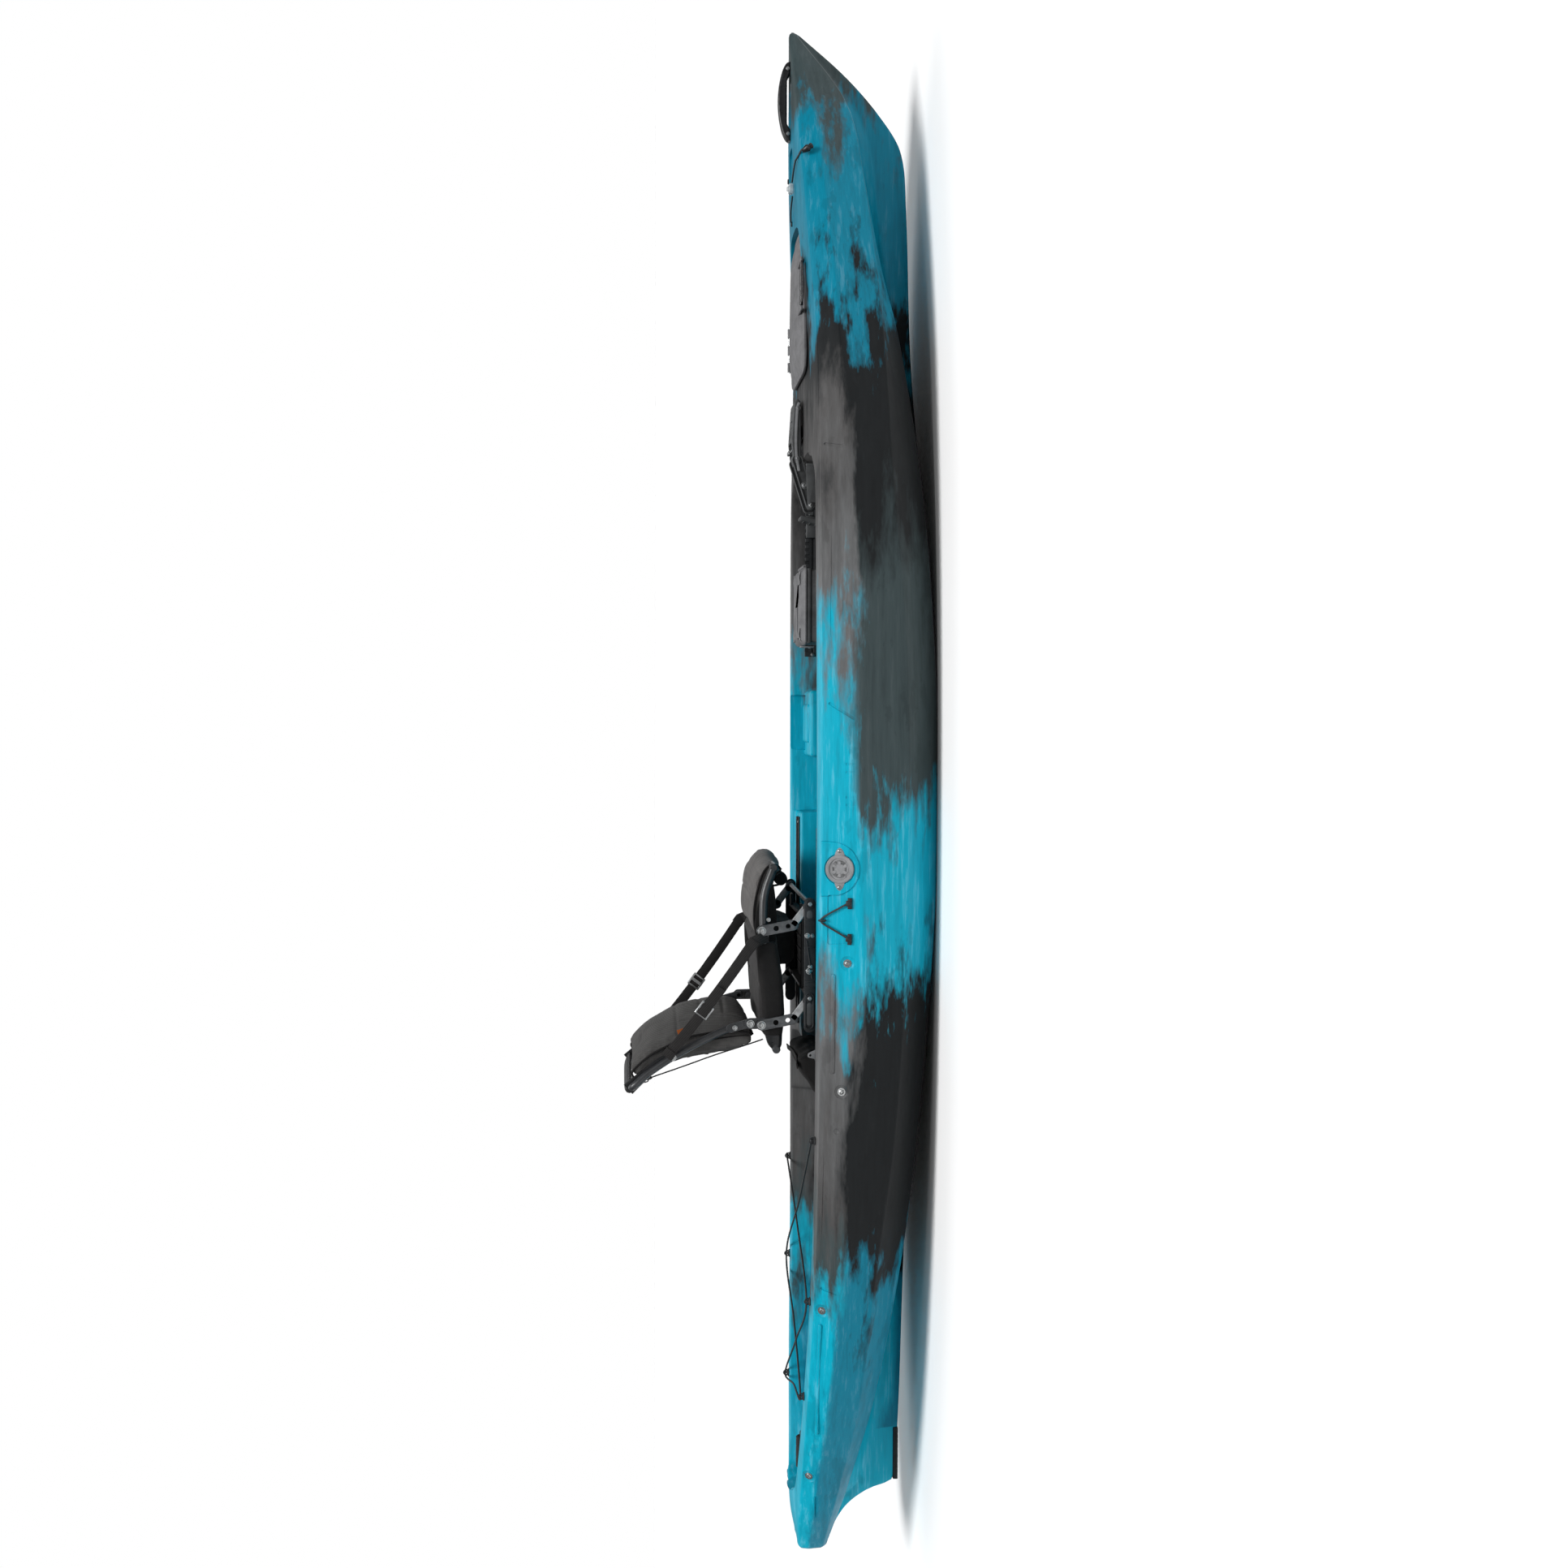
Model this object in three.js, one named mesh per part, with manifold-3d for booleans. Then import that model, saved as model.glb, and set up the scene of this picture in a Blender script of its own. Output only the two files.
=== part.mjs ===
// Sit-on-top pedal-ready fishing kayak: a rotomoulded hull with a raised, sliding sling seat.
// Millimetres. +X to the bow, +Y to port, +Z up. The origin is under the middle of the hull,
// on the surface that the boat stands on.
import * as THREE from 'three';
import { mergeVertices } from 'three/addons/utils/BufferGeometryUtils.js';
import Module from 'manifold-3d';

const wasm = await Module();
wasm.setup();

// ---- driving dimensions ------------------------------------------------------------------
const LENGTH = 4115;                 // 13 ft 6 in over the ends
const STERN = -LENGTH / 2;
const BOW = LENGTH / 2;
const WALL = 4.5;                    // moulded wall
const GAP = 0.4;                     // air between pieces that touch
const GUNWALE = 52;                  // width of the gunwale top
const LEDGE_Z = 300;                 // side ledges that carry the seat rails
const WELL_HALF = 205;               // half width of the well between the seat ledges
const FOOTWELL_Z = 78;
const SEAT_FLOOR_Z = 112;
const TANKWELL_Z = 205;
const SADDLE_Z = 252;                // low wall between the tankwell and the seat
const BULKHEAD_X = -795;             // wall between the seat well and the tankwell
const COCKPIT_END_X = 905;

const RAIL_Y = 262;                  // seat rails, carriage plates and legs lie in these planes
const LEG_LOWER = { x: -258, z: 324 };
const LEG_VECTOR = { x: -70, z: 124 };
const LEG_SPACING = 245;             // front leg to rear leg
const BACK_PIVOT = { x: -571, z: 476 };
const FRAME_R = 11;                  // seat and back tubes

const HATCH = { aft: 1128, fore: 1520, halfAft: 176, halfFore: 104, seat: 326 };
const LID_HINGE = { y: 186, z: 341 };
const LATCH_PIVOT = { y: -176, z: 344 };
const YOKE_PIVOT = { x: 792, z: 302 };
const POD = { aft: 424, fore: 618, half: 96, bottom: 85, rim: 318, top: 338, hingeX: 628 };

// ---- colours -----------------------------------------------------------------------------
const finish = (color, roughness, metalness = 0) =>
  new THREE.MeshStandardMaterial({ color, roughness, metalness });
const HULL = finish(0x1fb0cc, 0.42);
const BLACK = finish(0x17181a, 0.55);
const GREY = finish(0x55585b, 0.6);
const PALE = finish(0x9c9ea0, 0.5);
const CLEAR = finish(0xc9ccce, 0.3);
const FABRIC = finish(0x4b4a4a, 0.9);
const WEBBING = finish(0x1c1b1b, 0.9);
const TUBE = finish(0x2a2b2d, 0.4, 0.4);
const METAL = finish(0x8d9093, 0.35, 0.9);

// ---- solids ------------------------------------------------------------------------------
// A closed three.js geometry as a manifold solid.
function solid(geometry) {
  const bare = geometry.clone();
  bare.deleteAttribute('normal');
  bare.deleteAttribute('uv');
  const merged = mergeVertices(bare, 1e-4);
  return new wasm.Manifold(new wasm.Mesh({
    numProp: 3,
    vertProperties: Float32Array.from(merged.attributes.position.array),
    triVerts: Uint32Array.from(merged.index.array),
  }));
}

function geometryOf(body) {
  const mesh = body.getMesh();
  const geometry = new THREE.BufferGeometry();
  geometry.setAttribute('position', new THREE.BufferAttribute(mesh.vertProperties, 3));
  geometry.setIndex(new THREE.BufferAttribute(mesh.triVerts, 1));
  return geometry;
}

const part = new THREE.Group();
function add(name, shape, material) {
  const geometry = shape.isBufferGeometry ? shape : geometryOf(shape);
  const mesh = new THREE.Mesh(geometry, material);
  mesh.name = name;
  part.add(mesh);
  return mesh;
}

const unite = (...bodies) => bodies.reduce((whole, body) => whole.add(body));

function box(x0, x1, y0, y1, z0, z1) {
  const geometry = new THREE.BoxGeometry(x1 - x0, y1 - y0, z1 - z0);
  return solid(geometry.translate((x0 + x1) / 2, (y0 + y1) / 2, (z0 + z1) / 2));
}

// A straight round bar between two points.
function bar(a, b, radius, sides = 12) {
  const from = new THREE.Vector3(...a);
  const axis = new THREE.Vector3(...b).sub(from);
  const geometry = new THREE.CylinderGeometry(radius, radius, axis.length(), sides);
  const turn = new THREE.Quaternion().setFromUnitVectors(
    new THREE.Vector3(0, 1, 0), axis.clone().normalize());
  geometry.applyQuaternion(turn);
  return solid(geometry.translate(...from.addScaledVector(axis, 0.5).toArray()));
}

// A round tube that follows a smooth curve through points.
function tube(points, radius, steps, sides = 8, tension = 0.5) {
  const path = new THREE.CatmullRomCurve3(
    points.map(p => new THREE.Vector3(...p)), false, 'catmullrom', tension);
  const section = new THREE.Shape();
  for (let i = 0; i <= sides; i++) {
    const turn = 2 * Math.PI * i / sides;
    const put = i === 0 ? 'moveTo' : 'lineTo';
    section[put](radius * Math.cos(turn), radius * Math.sin(turn));
  }
  return new THREE.ExtrudeGeometry(section, { steps, extrudePath: path, curveSegments: 1 });
}

// An outline of [x, z] points, as thick as y0 to y1. Holes are [x, z, radius].
function plate(points, y0, y1, holes = []) {
  const shape = new THREE.Shape(points.map(([x, z]) => new THREE.Vector2(x, z)));
  for (const [x, z, radius] of holes) {
    shape.holes.push(new THREE.Path().absarc(x, z, radius, 0, 2 * Math.PI, true));
  }
  const options = { depth: y1 - y0, bevelEnabled: false, curveSegments: 5 };
  const geometry = new THREE.ExtrudeGeometry(shape, options);
  return solid(geometry.rotateX(Math.PI / 2).translate(0, y1, 0));
}

// The same, between y0 and y1, or mirrored to the other side where side is -1.
const sidePlate = (points, side, y0, y1, holes) =>
  (side > 0 ? plate(points, y0, y1, holes) : plate(points, -y1, -y0, holes));

// An outline of [x, y] points, from z0 up to z1.
function slab(points, z0, z1) {
  const shape = new THREE.Shape(points.map(([x, y]) => new THREE.Vector2(x, y)));
  const geometry = new THREE.ExtrudeGeometry(shape, { depth: z1 - z0, bevelEnabled: false });
  return solid(geometry.translate(0, 0, z0));
}

// Points of a strip of constant width along a line, with round ends.
function strip(line, width, endSteps = 4) {
  const left = [];
  const right = [];
  const at = line.map(([x, z]) => new THREE.Vector2(x, z));
  at.forEach((point, i) => {
    const before = at[Math.max(i - 1, 0)];
    const after = at[Math.min(i + 1, at.length - 1)];
    const side = after.clone().sub(before).normalize()
      .rotateAround(new THREE.Vector2(), Math.PI / 2);
    left.push(point.clone().addScaledVector(side, width / 2));
    right.unshift(point.clone().addScaledVector(side, -width / 2));
  });
  const cap = (centre, from) => {
    const ring = [];
    for (let i = 1; i < endSteps; i++) {
      ring.push(from.clone().rotateAround(centre, -Math.PI * i / endSteps));
    }
    return ring;
  };
  const outline = [...left, ...cap(at.at(-1), left.at(-1)), ...right, ...cap(at[0], right.at(-1))];
  return outline.reverse().map(p => [p.x, p.y]);
}

// Rings of equal length, joined in order and closed at both ends.
function loft(rings) {
  const count = rings[0].length;
  const vertices = rings.flat(2);
  const faces = [];
  for (let r = 0; r + 1 < rings.length; r++) {
    for (let i = 0; i < count; i++) {
      const a = r * count + i;
      const b = r * count + (i + 1) % count;
      faces.push(a, b, b + count, a, b + count, a + count);
    }
  }
  const last = (rings.length - 1) * count;
  for (const [start, flip] of [[0, true], [last, false]]) {
    const ring = rings[start / count].map(([x, y, z]) => new THREE.Vector2(y, z));
    for (const [a, b, c] of THREE.ShapeUtils.triangulateShape(ring, [])) {
      faces.push(...(flip ? [start + a, start + c, start + b] : [start + a, start + b, start + c]));
    }
  }
  const geometry = new THREE.BufferGeometry();
  geometry.setAttribute('position', new THREE.Float32BufferAttribute(vertices, 3));
  geometry.setIndex(faces);
  return solid(geometry);
}

// ---- hull lines --------------------------------------------------------------------------
// A smooth line through [x, value] points.
function smoothLine(points) {
  const slope = i => {
    const a = points[Math.max(i - 1, 0)];
    const b = points[Math.min(i + 1, points.length - 1)];
    return (b[1] - a[1]) / (b[0] - a[0]);
  };
  return x => {
    const end = points.length - 1;
    if (x <= points[0][0]) return points[0][1];
    if (x >= points[end][0]) return points[end][1];
    const i = points.findIndex(p => p[0] > x) - 1;
    const [x0, v0] = points[i];
    const [x1, v1] = points[i + 1];
    const t = (x - x0) / (x1 - x0);
    const h = (x1 - x0);
    return v0 * (1 + 2 * t) * (1 - t) ** 2 + v1 * t * t * (3 - 2 * t)
      + h * slope(i) * t * (1 - t) ** 2 + h * slope(i + 1) * t * t * (t - 1);
  };
}

// Half beam at the widest line, and the heights of the lines along the side, stern to bow.
const halfBeam = smoothLine([[STERN, 62], [-1900, 150], [-1500, 300], [-1000, 392], [-200, 432],
  [600, 412], [1000, 367], [1300, 305], [1700, 175], [1950, 58], [BOW, 5]]);
const sheerZ = smoothLine([[STERN, 322], [-1950, 332], [-1200, 314], [-800, 311], [0, 312],
  [800, 316], [1200, 317], [1400, 328], [1750, 348], [BOW, 359]]);
const beltZ = smoothLine([[STERN, 300], [-1600, 277], [-1200, 252], [-800, 240], [-400, 209],
  [0, 213], [600, 222], [1000, 251], [1400, 274], [1850, 313], [BOW, 357]]);
const bandZ = smoothLine([[STERN, 262], [-1950, 246], [-1600, 190], [-1200, 157], [-800, 114],
  [-200, 89], [400, 96], [800, 127], [1200, 148], [1600, 181], [1850, 223], [BOW, 350]]);
const chineZ = smoothLine([[STERN, 250], [-1800, 185], [-1600, 140], [-1200, 78], [-800, 36],
  [-400, 9], [-200, 0], [200, 0], [400, 6], [800, 37], [1200, 95], [1400, 139], [1650, 178],
  [1850, 216], [BOW, 348]]);
const keelZ = smoothLine([[STERN, 247], [-2044, 243], [-1993, 217], [-1947, 178], [-1913, 125],
  [-1890, 63], [-1740, 47], [-1200, 32], [-500, 0], [700, 0], [1200, 31], [1600, 44], [1750, 60],
  [1850, 123], [1950, 216], [BOW, 345]]);
const keelHalf = smoothLine([[STERN, 34], [-1950, 14], [-1200, 22], [-400, 60], [600, 60],
  [1200, 20], [1700, 9], [BOW, 2]]);
const crown = smoothLine([[STERN, 2], [-1890, 16], [-1500, 6], [900, 8], [1150, 12], [1320, 15],
  [1750, 10], [BOW, 1]]);
const sheerHalf = x => halfBeam(x) - 30 * Math.min(1, halfBeam(x) / 300);
const chineHalf = x => halfBeam(x) * 0.7;
const TUNNEL = 14;                   // how far the bottom hollows between keel and chine

// One side of the section at x, from the keel round to the middle of the deck.
function halfSection(x) {
  const keel = Math.max(0, keelZ(x));
  const chine = Math.max(0, chineZ(x));
  const drop = chine - keel;
  const inner = keelHalf(x) + Math.min(6, 0.3 * (chineHalf(x) - keelHalf(x)));
  const hollow = TUNNEL * Math.max(0, 1 - (x / 1200) ** 2);
  const half = sheerHalf(x);
  const edge = Math.max(half - 24, half * 0.7);
  return [
    [keelHalf(x), keel],
    [inner, keel + 0.65 * drop + 0.8 * hollow],
    [inner + 0.35 * (chineHalf(x) - inner), keel + 0.94 * drop + hollow],
    [chineHalf(x), chine],
    [halfBeam(x) * 0.93, bandZ(x)],
    [halfBeam(x), beltZ(x)],
    [half, sheerZ(x)],
    [edge, sheerZ(x) + 5],
    [edge * 0.5, sheerZ(x) + 5 + 0.75 * (crown(x) - 5)],
    [0, sheerZ(x) + crown(x)],
  ];
}

// The whole ring at x: port side up, then starboard side down.
function ring(x, half) {
  const port = half.map(([y, z]) => [x, y, z]);
  const starboard = half.filter(([y]) => y > 0.01).map(([y, z]) => [x, -y, z]).reverse();
  return [...port, ...starboard];
}
const deckZ = (x, y) => {
  const points = halfSection(x).slice(-3).reverse();
  const i = Math.abs(y) > points[1][0] ? 1 : 0;
  const t = (Math.abs(y) - points[i][0]) / (points[i + 1][0] - points[i][0]);
  return points[i][1] + t * (points[i + 1][1] - points[i][1]);
};

const stations = (from, to, count) =>
  Array.from({ length: count }, (_, i) => from + (to - from) * i / (count - 1));
const SKEG_STATIONS = [STERN, -2044, -1993, -1947, -1913, -1890, -1815];
const OUTER_STATIONS = [...SKEG_STATIONS, ...stations(-1700, 1700, 28), 1750, 1800, 1850, 1900,
  1950, 2000, 2035, BOW];
const outer = loft(OUTER_STATIONS.map(x => ring(x, halfSection(x))));

// The air space inside the double skin, one wall in from the outside.
function innerHalf(x) {
  const [keel, inner, middle, chine, band, belt, sheer] = halfSection(x);
  const floor = chine[1] - keel[1] > 40 ? middle[1] + WALL : 0;
  const up = z => Math.max(z + WALL, floor);
  const bandUp = Math.max(band[1], up(chine[1]) + 2);
  return [
    [0, up(keel[1])],
    [keel[0], up(keel[1])],
    [inner[0], up(inner[1])],
    [middle[0], up(middle[1])],
    [Math.max(chine[0] - 1.2 * WALL, middle[0] + 1), up(chine[1])],
    [band[0] - 1.3 * WALL, bandUp],
    [belt[0] - 1.1 * WALL, Math.max(belt[1], bandUp + 2)],
    [sheer[0] - 1.5 * WALL, sheer[1] - WALL],
    [0, sheer[1] + Math.min(crown(x), 3) - WALL],
  ];
}
const airSpace = loft(stations(-1900, 1830, 24).map(x => ring(x, innerHalf(x))));

// A well open at the top: stations of [x, half width at the top, half width at the floor, floor].
// Grown by a wall it gives the inner side of the same skin.
function well(sections, grow = 0) {
  const top = 420;
  const first = sections[0][0];
  const last = sections.at(-1)[0];
  const middle = (first + last) / 2;
  const reach = (last - first) / 2;
  return loft(sections.map(([x, wide, narrow, floor]) => {
    const at = middle + (x - middle) * (reach + grow) / reach;
    const lip = 330;
    return ring(at, [
      [narrow + grow, floor - grow], [wide + grow, lip], [wide + grow, top],
    ]);
  }));
}
const rim = x => sheerHalf(x) - GUNWALE;
const tankwell = [
  [-1885, 40, 30, 292], [-1850, 70, 55, 262], [-1760, rim(-1760), 105, 232],
  [-1600, rim(-1600), 170, TANKWELL_Z], [-1200, rim(-1200), 250, TANKWELL_Z],
  [BULKHEAD_X - 60, rim(-850), 280, TANKWELL_Z],
];
const saddle = [
  [BULKHEAD_X - 75, rim(-850), 262, SADDLE_Z], [BULKHEAD_X + 130, rim(-660) - 8, 250, SADDLE_Z],
];
const seatWell = [
  [BULKHEAD_X + 112, 150, 140, 170], [-640, WELL_HALF, 185, SEAT_FLOOR_Z],
  [-100, WELL_HALF, 190, SEAT_FLOOR_Z], [-30, WELL_HALF + 15, 195, FOOTWELL_Z + 12],
];
const footWell = [
  [-45, rim(0) - 12, 270, FOOTWELL_Z], [0, rim(0), rim(0) - 35, FOOTWELL_Z],
  [400, rim(400), rim(400) - 35, FOOTWELL_Z], [700, rim(700), rim(700) - 35, FOOTWELL_Z + 8],
  [840, rim(840), rim(840) - 25, FOOTWELL_Z + 55],
  [COCKPIT_END_X, 190, 120, 235],
];
const ledges = [
  [BULKHEAD_X + 105, rim(-690) - 8, rim(-690) - 12, LEDGE_Z],
  [-620, rim(-600), rim(-600) - 6, LEDGE_Z],
  [-40, rim(-40), rim(-40) - 6, LEDGE_Z],
];
const hatchWell = [
  [HATCH.aft + 26, HATCH.halfAft - 26, HATCH.halfAft - 26, 150],
  [HATCH.fore - 26, HATCH.halfFore - 22, HATCH.halfFore - 22, 150],
];
// Plan of the bow hatch's lid, grown or shrunk all round.
function hatchOutline(grow) {
  const middle = (HATCH.aft + HATCH.fore) / 2;
  const along = 1 + 2 * grow / (HATCH.fore - HATCH.aft);
  const across = 1 + 2 * grow / (HATCH.halfAft + HATCH.halfFore);
  const half = [
    [HATCH.aft, HATCH.halfAft * 0.7], [HATCH.aft + 10, HATCH.halfAft * 0.92],
    [HATCH.aft + 44, HATCH.halfAft - 2], [HATCH.fore - 44, HATCH.halfFore + 6],
    [HATCH.fore - 9, HATCH.halfFore * 0.88], [HATCH.fore, HATCH.halfFore * 0.6],
  ].map(([x, y]) => [middle + (x - middle) * along, y * across]);
  return [...half.map(([x, y]) => [x, -y]), ...half.reverse()];
}
const wells = grow => [tankwell, saddle, seatWell, footWell, ledges].map(s => well(s, grow));

// Moulded steps on the footwell's sides, and the drive pod's seat.
const STEP = { aft: 112, fore: 300, inboard: 165, top: 280 };
const sideStep = (side, inset) => box(
  STEP.aft + inset, STEP.fore - inset,
  side > 0 ? STEP.inboard + inset : -420, side > 0 ? 420 : -STEP.inboard - inset,
  FOOTWELL_Z - 12, STEP.top - inset);

let hull = outer;
for (const cut of wells(0)) hull = hull.subtract(cut);
hull = unite(hull, ...[1, -1].map(side => sideStep(side, 0).intersect(outer)));
let air = airSpace;
for (const cut of wells(WALL)) air = air.subtract(cut);
air = unite(air, ...[1, -1].map(side => sideStep(side, WALL).intersect(airSpace)));
hull = hull.subtract(slab(hatchOutline(2), HATCH.seat, 420));
hull = unite(hull, slab(hatchOutline(-2), 300, HATCH.seat));
hull = hull.subtract(air).subtract(well(hatchWell));
// the drain at the stern, which also keeps every part of the air space open
const DRAIN = { x: -1905, z: 302, radius: 9 };
hull = hull.subtract(bar([DRAIN.x - 200, 0, DRAIN.z], [DRAIN.x + 16, 0, DRAIN.z], DRAIN.radius));
const HANDLE = { aft: 1768, fore: 1976, under: 368, peak: 393, half: 14 };
hull = hull.subtract(box(HANDLE.aft + 36, HANDLE.fore - 36, -32, 32, 350, 400));
const SKID = { aft: -1888, fore: -1742, half: 17, height: 13 };
hull = hull.subtract(box(SKID.aft - 30, SKID.fore, -60, 60, 0, keelZ(-1815) + SKID.height));
add('hull', hull, HULL);

// ---- hull fittings -----------------------------------------------------------------------
const SIDES = [['starboard', -1], ['port', 1]];

// A wear strip let into the foot of the skeg.
add('skid_strip', box(SKID.aft, SKID.fore - GAP, -SKID.half, SKID.half,
  keelZ(-1815) - 1, keelZ(-1815) + SKID.height - GAP), BLACK);
add('drain_plug', bar([STERN + 1, 0, DRAIN.z], [DRAIN.x, 0, DRAIN.z], DRAIN.radius - 1.5), BLACK);

// The arched grab handle at the bow, over its finger recess.
function handleOutline() {
  const steps = 12;
  const top = [];
  for (let i = 0; i <= steps; i++) {
    const t = i / steps;
    const x = HANDLE.aft + t * (HANDLE.fore - HANDLE.aft);
    const foot = deckZ(x, HANDLE.half) + 5;
    top.push([x, foot + (HANDLE.peak - foot) * Math.sqrt(Math.sin(Math.PI * t))]);
  }
  const footUnder = x => [x, deckZ(x, 0) + 1];
  return [footUnder(HANDLE.aft), footUnder(HANDLE.aft + 34), [HANDLE.aft + 38, HANDLE.under],
    [HANDLE.fore - 38, HANDLE.under], footUnder(HANDLE.fore - 34), footUnder(HANDLE.fore),
    ...top.reverse()];
}
add('bow_handle', plate(handleOutline(), -HANDLE.half, HANDLE.half), BLACK);

// The bow lashing: a cord through a lock and a toggle that hangs on the starboard side.
const lashing = [[1560, 18], [1585, -8], [1612, -42]].map(([x, y]) => [x, y, deckZ(x, y) + 4]);
add('bow_cord_aft', tube(lashing, 2.5, 12), BLACK);
add('bow_cord_lock', box(1614, 1640, -68, -44, deckZ(1627, -50) + 2, deckZ(1627, -50) + 20),
  CLEAR);
const toggleCord = [[1643, -62], [1662, -92], [1680, -128]]
  .map(([x, y]) => [x, y, deckZ(x, y) + 6]);
add('bow_cord_fore', tube(toggleCord, 2.5, 12), BLACK);
const TOGGLE = { x: 1696, z: 331 };
add('bow_toggle', new THREE.LatheGeometry(
  [[0, -17], [7, -14], [10, -4], [7, 9], [3, 15], [0, 15]].map(([r, z]) => new THREE.Vector2(r, z)),
  12).rotateX(-0.35).rotateY(-0.5).translate(TOGGLE.x, -sheerHalf(TOGGLE.x) - 23, TOGGLE.z), BLACK);

// Round covers on the hull's sides, each with two ears.
const COVER = { x: -154, z: 266, radius: 36, thick: 6, ear: 46 };
const bandLean = Math.atan(30 / (sheerZ(COVER.x) - beltZ(COVER.x)));
const sideY = (x, z) => halfBeam(x) + (sheerHalf(x) - halfBeam(x))
  * (z - beltZ(x)) / (sheerZ(x) - beltZ(x));
for (const [name, side] of SIDES) {
  const ears = strip([[-COVER.ear, 0], [COVER.ear, 0]], 20);
  const cover = unite(
    bar([0, 0, 0], [0, COVER.thick, 0], COVER.radius, 24),
    plate(ears, 0, COVER.thick - 2));
  const body = side > 0 ? cover : cover.mirror([0, 1, 0]);
  const lean = bandLean * 180 / Math.PI;
  add(`side_cover_${name}`, body.rotate([side * lean, 0, 0])
    .translate([COVER.x, side * (sideY(COVER.x, COVER.z) + 1.2), COVER.z]), PALE);
}

// Paddle keepers: a V of shock cord on each side.
const KEEPER = { aft: -329, fore: -237, low: 243, apex: -284, high: 314, out: 5 };
for (const [name, side] of SIDES) {
  const at = (x, z) => [x, side * (sideY(x, z) + KEEPER.out), z];
  const middle = (KEEPER.low + KEEPER.high) / 2;
  const route = [at(KEEPER.aft, KEEPER.low), at((KEEPER.aft + KEEPER.apex) / 2 - 3, middle),
    at(KEEPER.apex - 8, KEEPER.high - 8), at(KEEPER.apex, KEEPER.high - 2),
    at(KEEPER.apex + 8, KEEPER.high - 8), at((KEEPER.fore + KEEPER.apex) / 2 + 3, middle),
    at(KEEPER.fore, KEEPER.low)];
  add(`paddle_cord_${name}`, tube(route, 2.5, 24), BLACK);
}

// Shock cord laced over the tankwell, on six hooks.
const hookAt = (x, side) => [x, side * (rim(x) + 14), deckZ(x, rim(x) + 5) + 10];
const hooks = [hookAt(-1060, 1), hookAt(-1293, -1), hookAt(-1655, 1), hookAt(-1569, -1),
  hookAt(-1335, 1), hookAt(-858, -1)];
hooks.forEach(([x, y, z], i) => {
  add(`cord_hook_${i + 1}`, unite(
    bar([x, y, z - 9.5], [x, y, z - 5], 9, 10),
    box(x - 5, x + 5, y - 3, y + 3, z - 5, z - 3)), BLACK);
});
const SAG = 3;
const laced = [...hooks, hooks[0]].flatMap((hook, i, all) => {
  if (i === 0) return [hook];
  const before = all[i - 1];
  const middle = before.map((v, axis) => (v + hook[axis]) / 2);
  return [[middle[0], middle[1], middle[2] - SAG], hook];
});
add('tankwell_cord', tube(laced.slice(0, -2), 2.7, 60), BLACK);

// The foam grip at the aft end of the tankwell, and the pouch behind the seat.
const GRIP = { aft: -1832, fore: -1744, y: -44, z: 322, radius: 11 };
add('stern_grip', bar([GRIP.aft, GRIP.y, GRIP.z], [GRIP.fore, GRIP.y, GRIP.z], GRIP.radius), BLACK);
const POUCH = { half: 150 };
const pouchOutline = [[-803, SADDLE_Z + GAP], [-690, SADDLE_Z + GAP], [-668, 302], [-668, 318],
  [-684, 347], [-722, 345], [-778, 300], [-803, 272]];
add('stern_pouch', plate(pouchOutline, -POUCH.half, POUCH.half), WEBBING);

// Rails on the seat ledges, and the toothed tracks of the foot braces.
const RAIL = { aft: -658, fore: -62, half: 20, top: LEDGE_Z + 9 };
for (const [name, side] of SIDES) {
  const y = side * (RAIL_Y + 4);
  add(`seat_rail_${name}`, unite(
    box(RAIL.aft, RAIL.fore, y - RAIL.half, y + RAIL.half, LEDGE_Z + GAP, RAIL.top - 4),
    box(RAIL.aft, RAIL.fore, y - 6, y + 6, RAIL.top - 5, RAIL.top)), BLACK);
}
const TRACK = { aft: 398, fore: 832, z0: 250, z1: 284, y: 285, thick: 9, pitch: 18 };
for (const [name, side] of SIDES) {
  const across = (y0, y1) => (side > 0 ? [y0, y1] : [-y1, -y0]);
  let track = box(TRACK.aft, TRACK.fore, ...across(TRACK.y, TRACK.y + TRACK.thick),
    TRACK.z0, TRACK.z1);
  for (let x = TRACK.aft + 14; x < TRACK.fore - 14; x += TRACK.pitch) {
    track = track.subtract(box(x, x + TRACK.pitch / 2,
      ...across(TRACK.y - 1, TRACK.y + 4), TRACK.z1 - 12, TRACK.z1 + 1));
  }
  add(`foot_track_${name}`, track, BLACK);
  const shoe = box(738, 800, ...across(TRACK.y - 12, TRACK.y - GAP), TRACK.z0 + 3, TRACK.z1 - 2);
  const pad = sidePlate(strip([[764, 190], [771, 235], [788, 300]], 16), side, 214, 276);
  add(`foot_pedal_${name}`, unite(pad, shoe), GREY);
}

// ---- bow hatch ---------------------------------------------------------------------------
const SEAL_TOP = HATCH.seat + 2.2;
add('hatch_seal', slab(hatchOutline(-5), HATCH.seat + GAP, SEAL_TOP)
  .subtract(slab(hatchOutline(-15), 300, 360)), BLACK);

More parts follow.
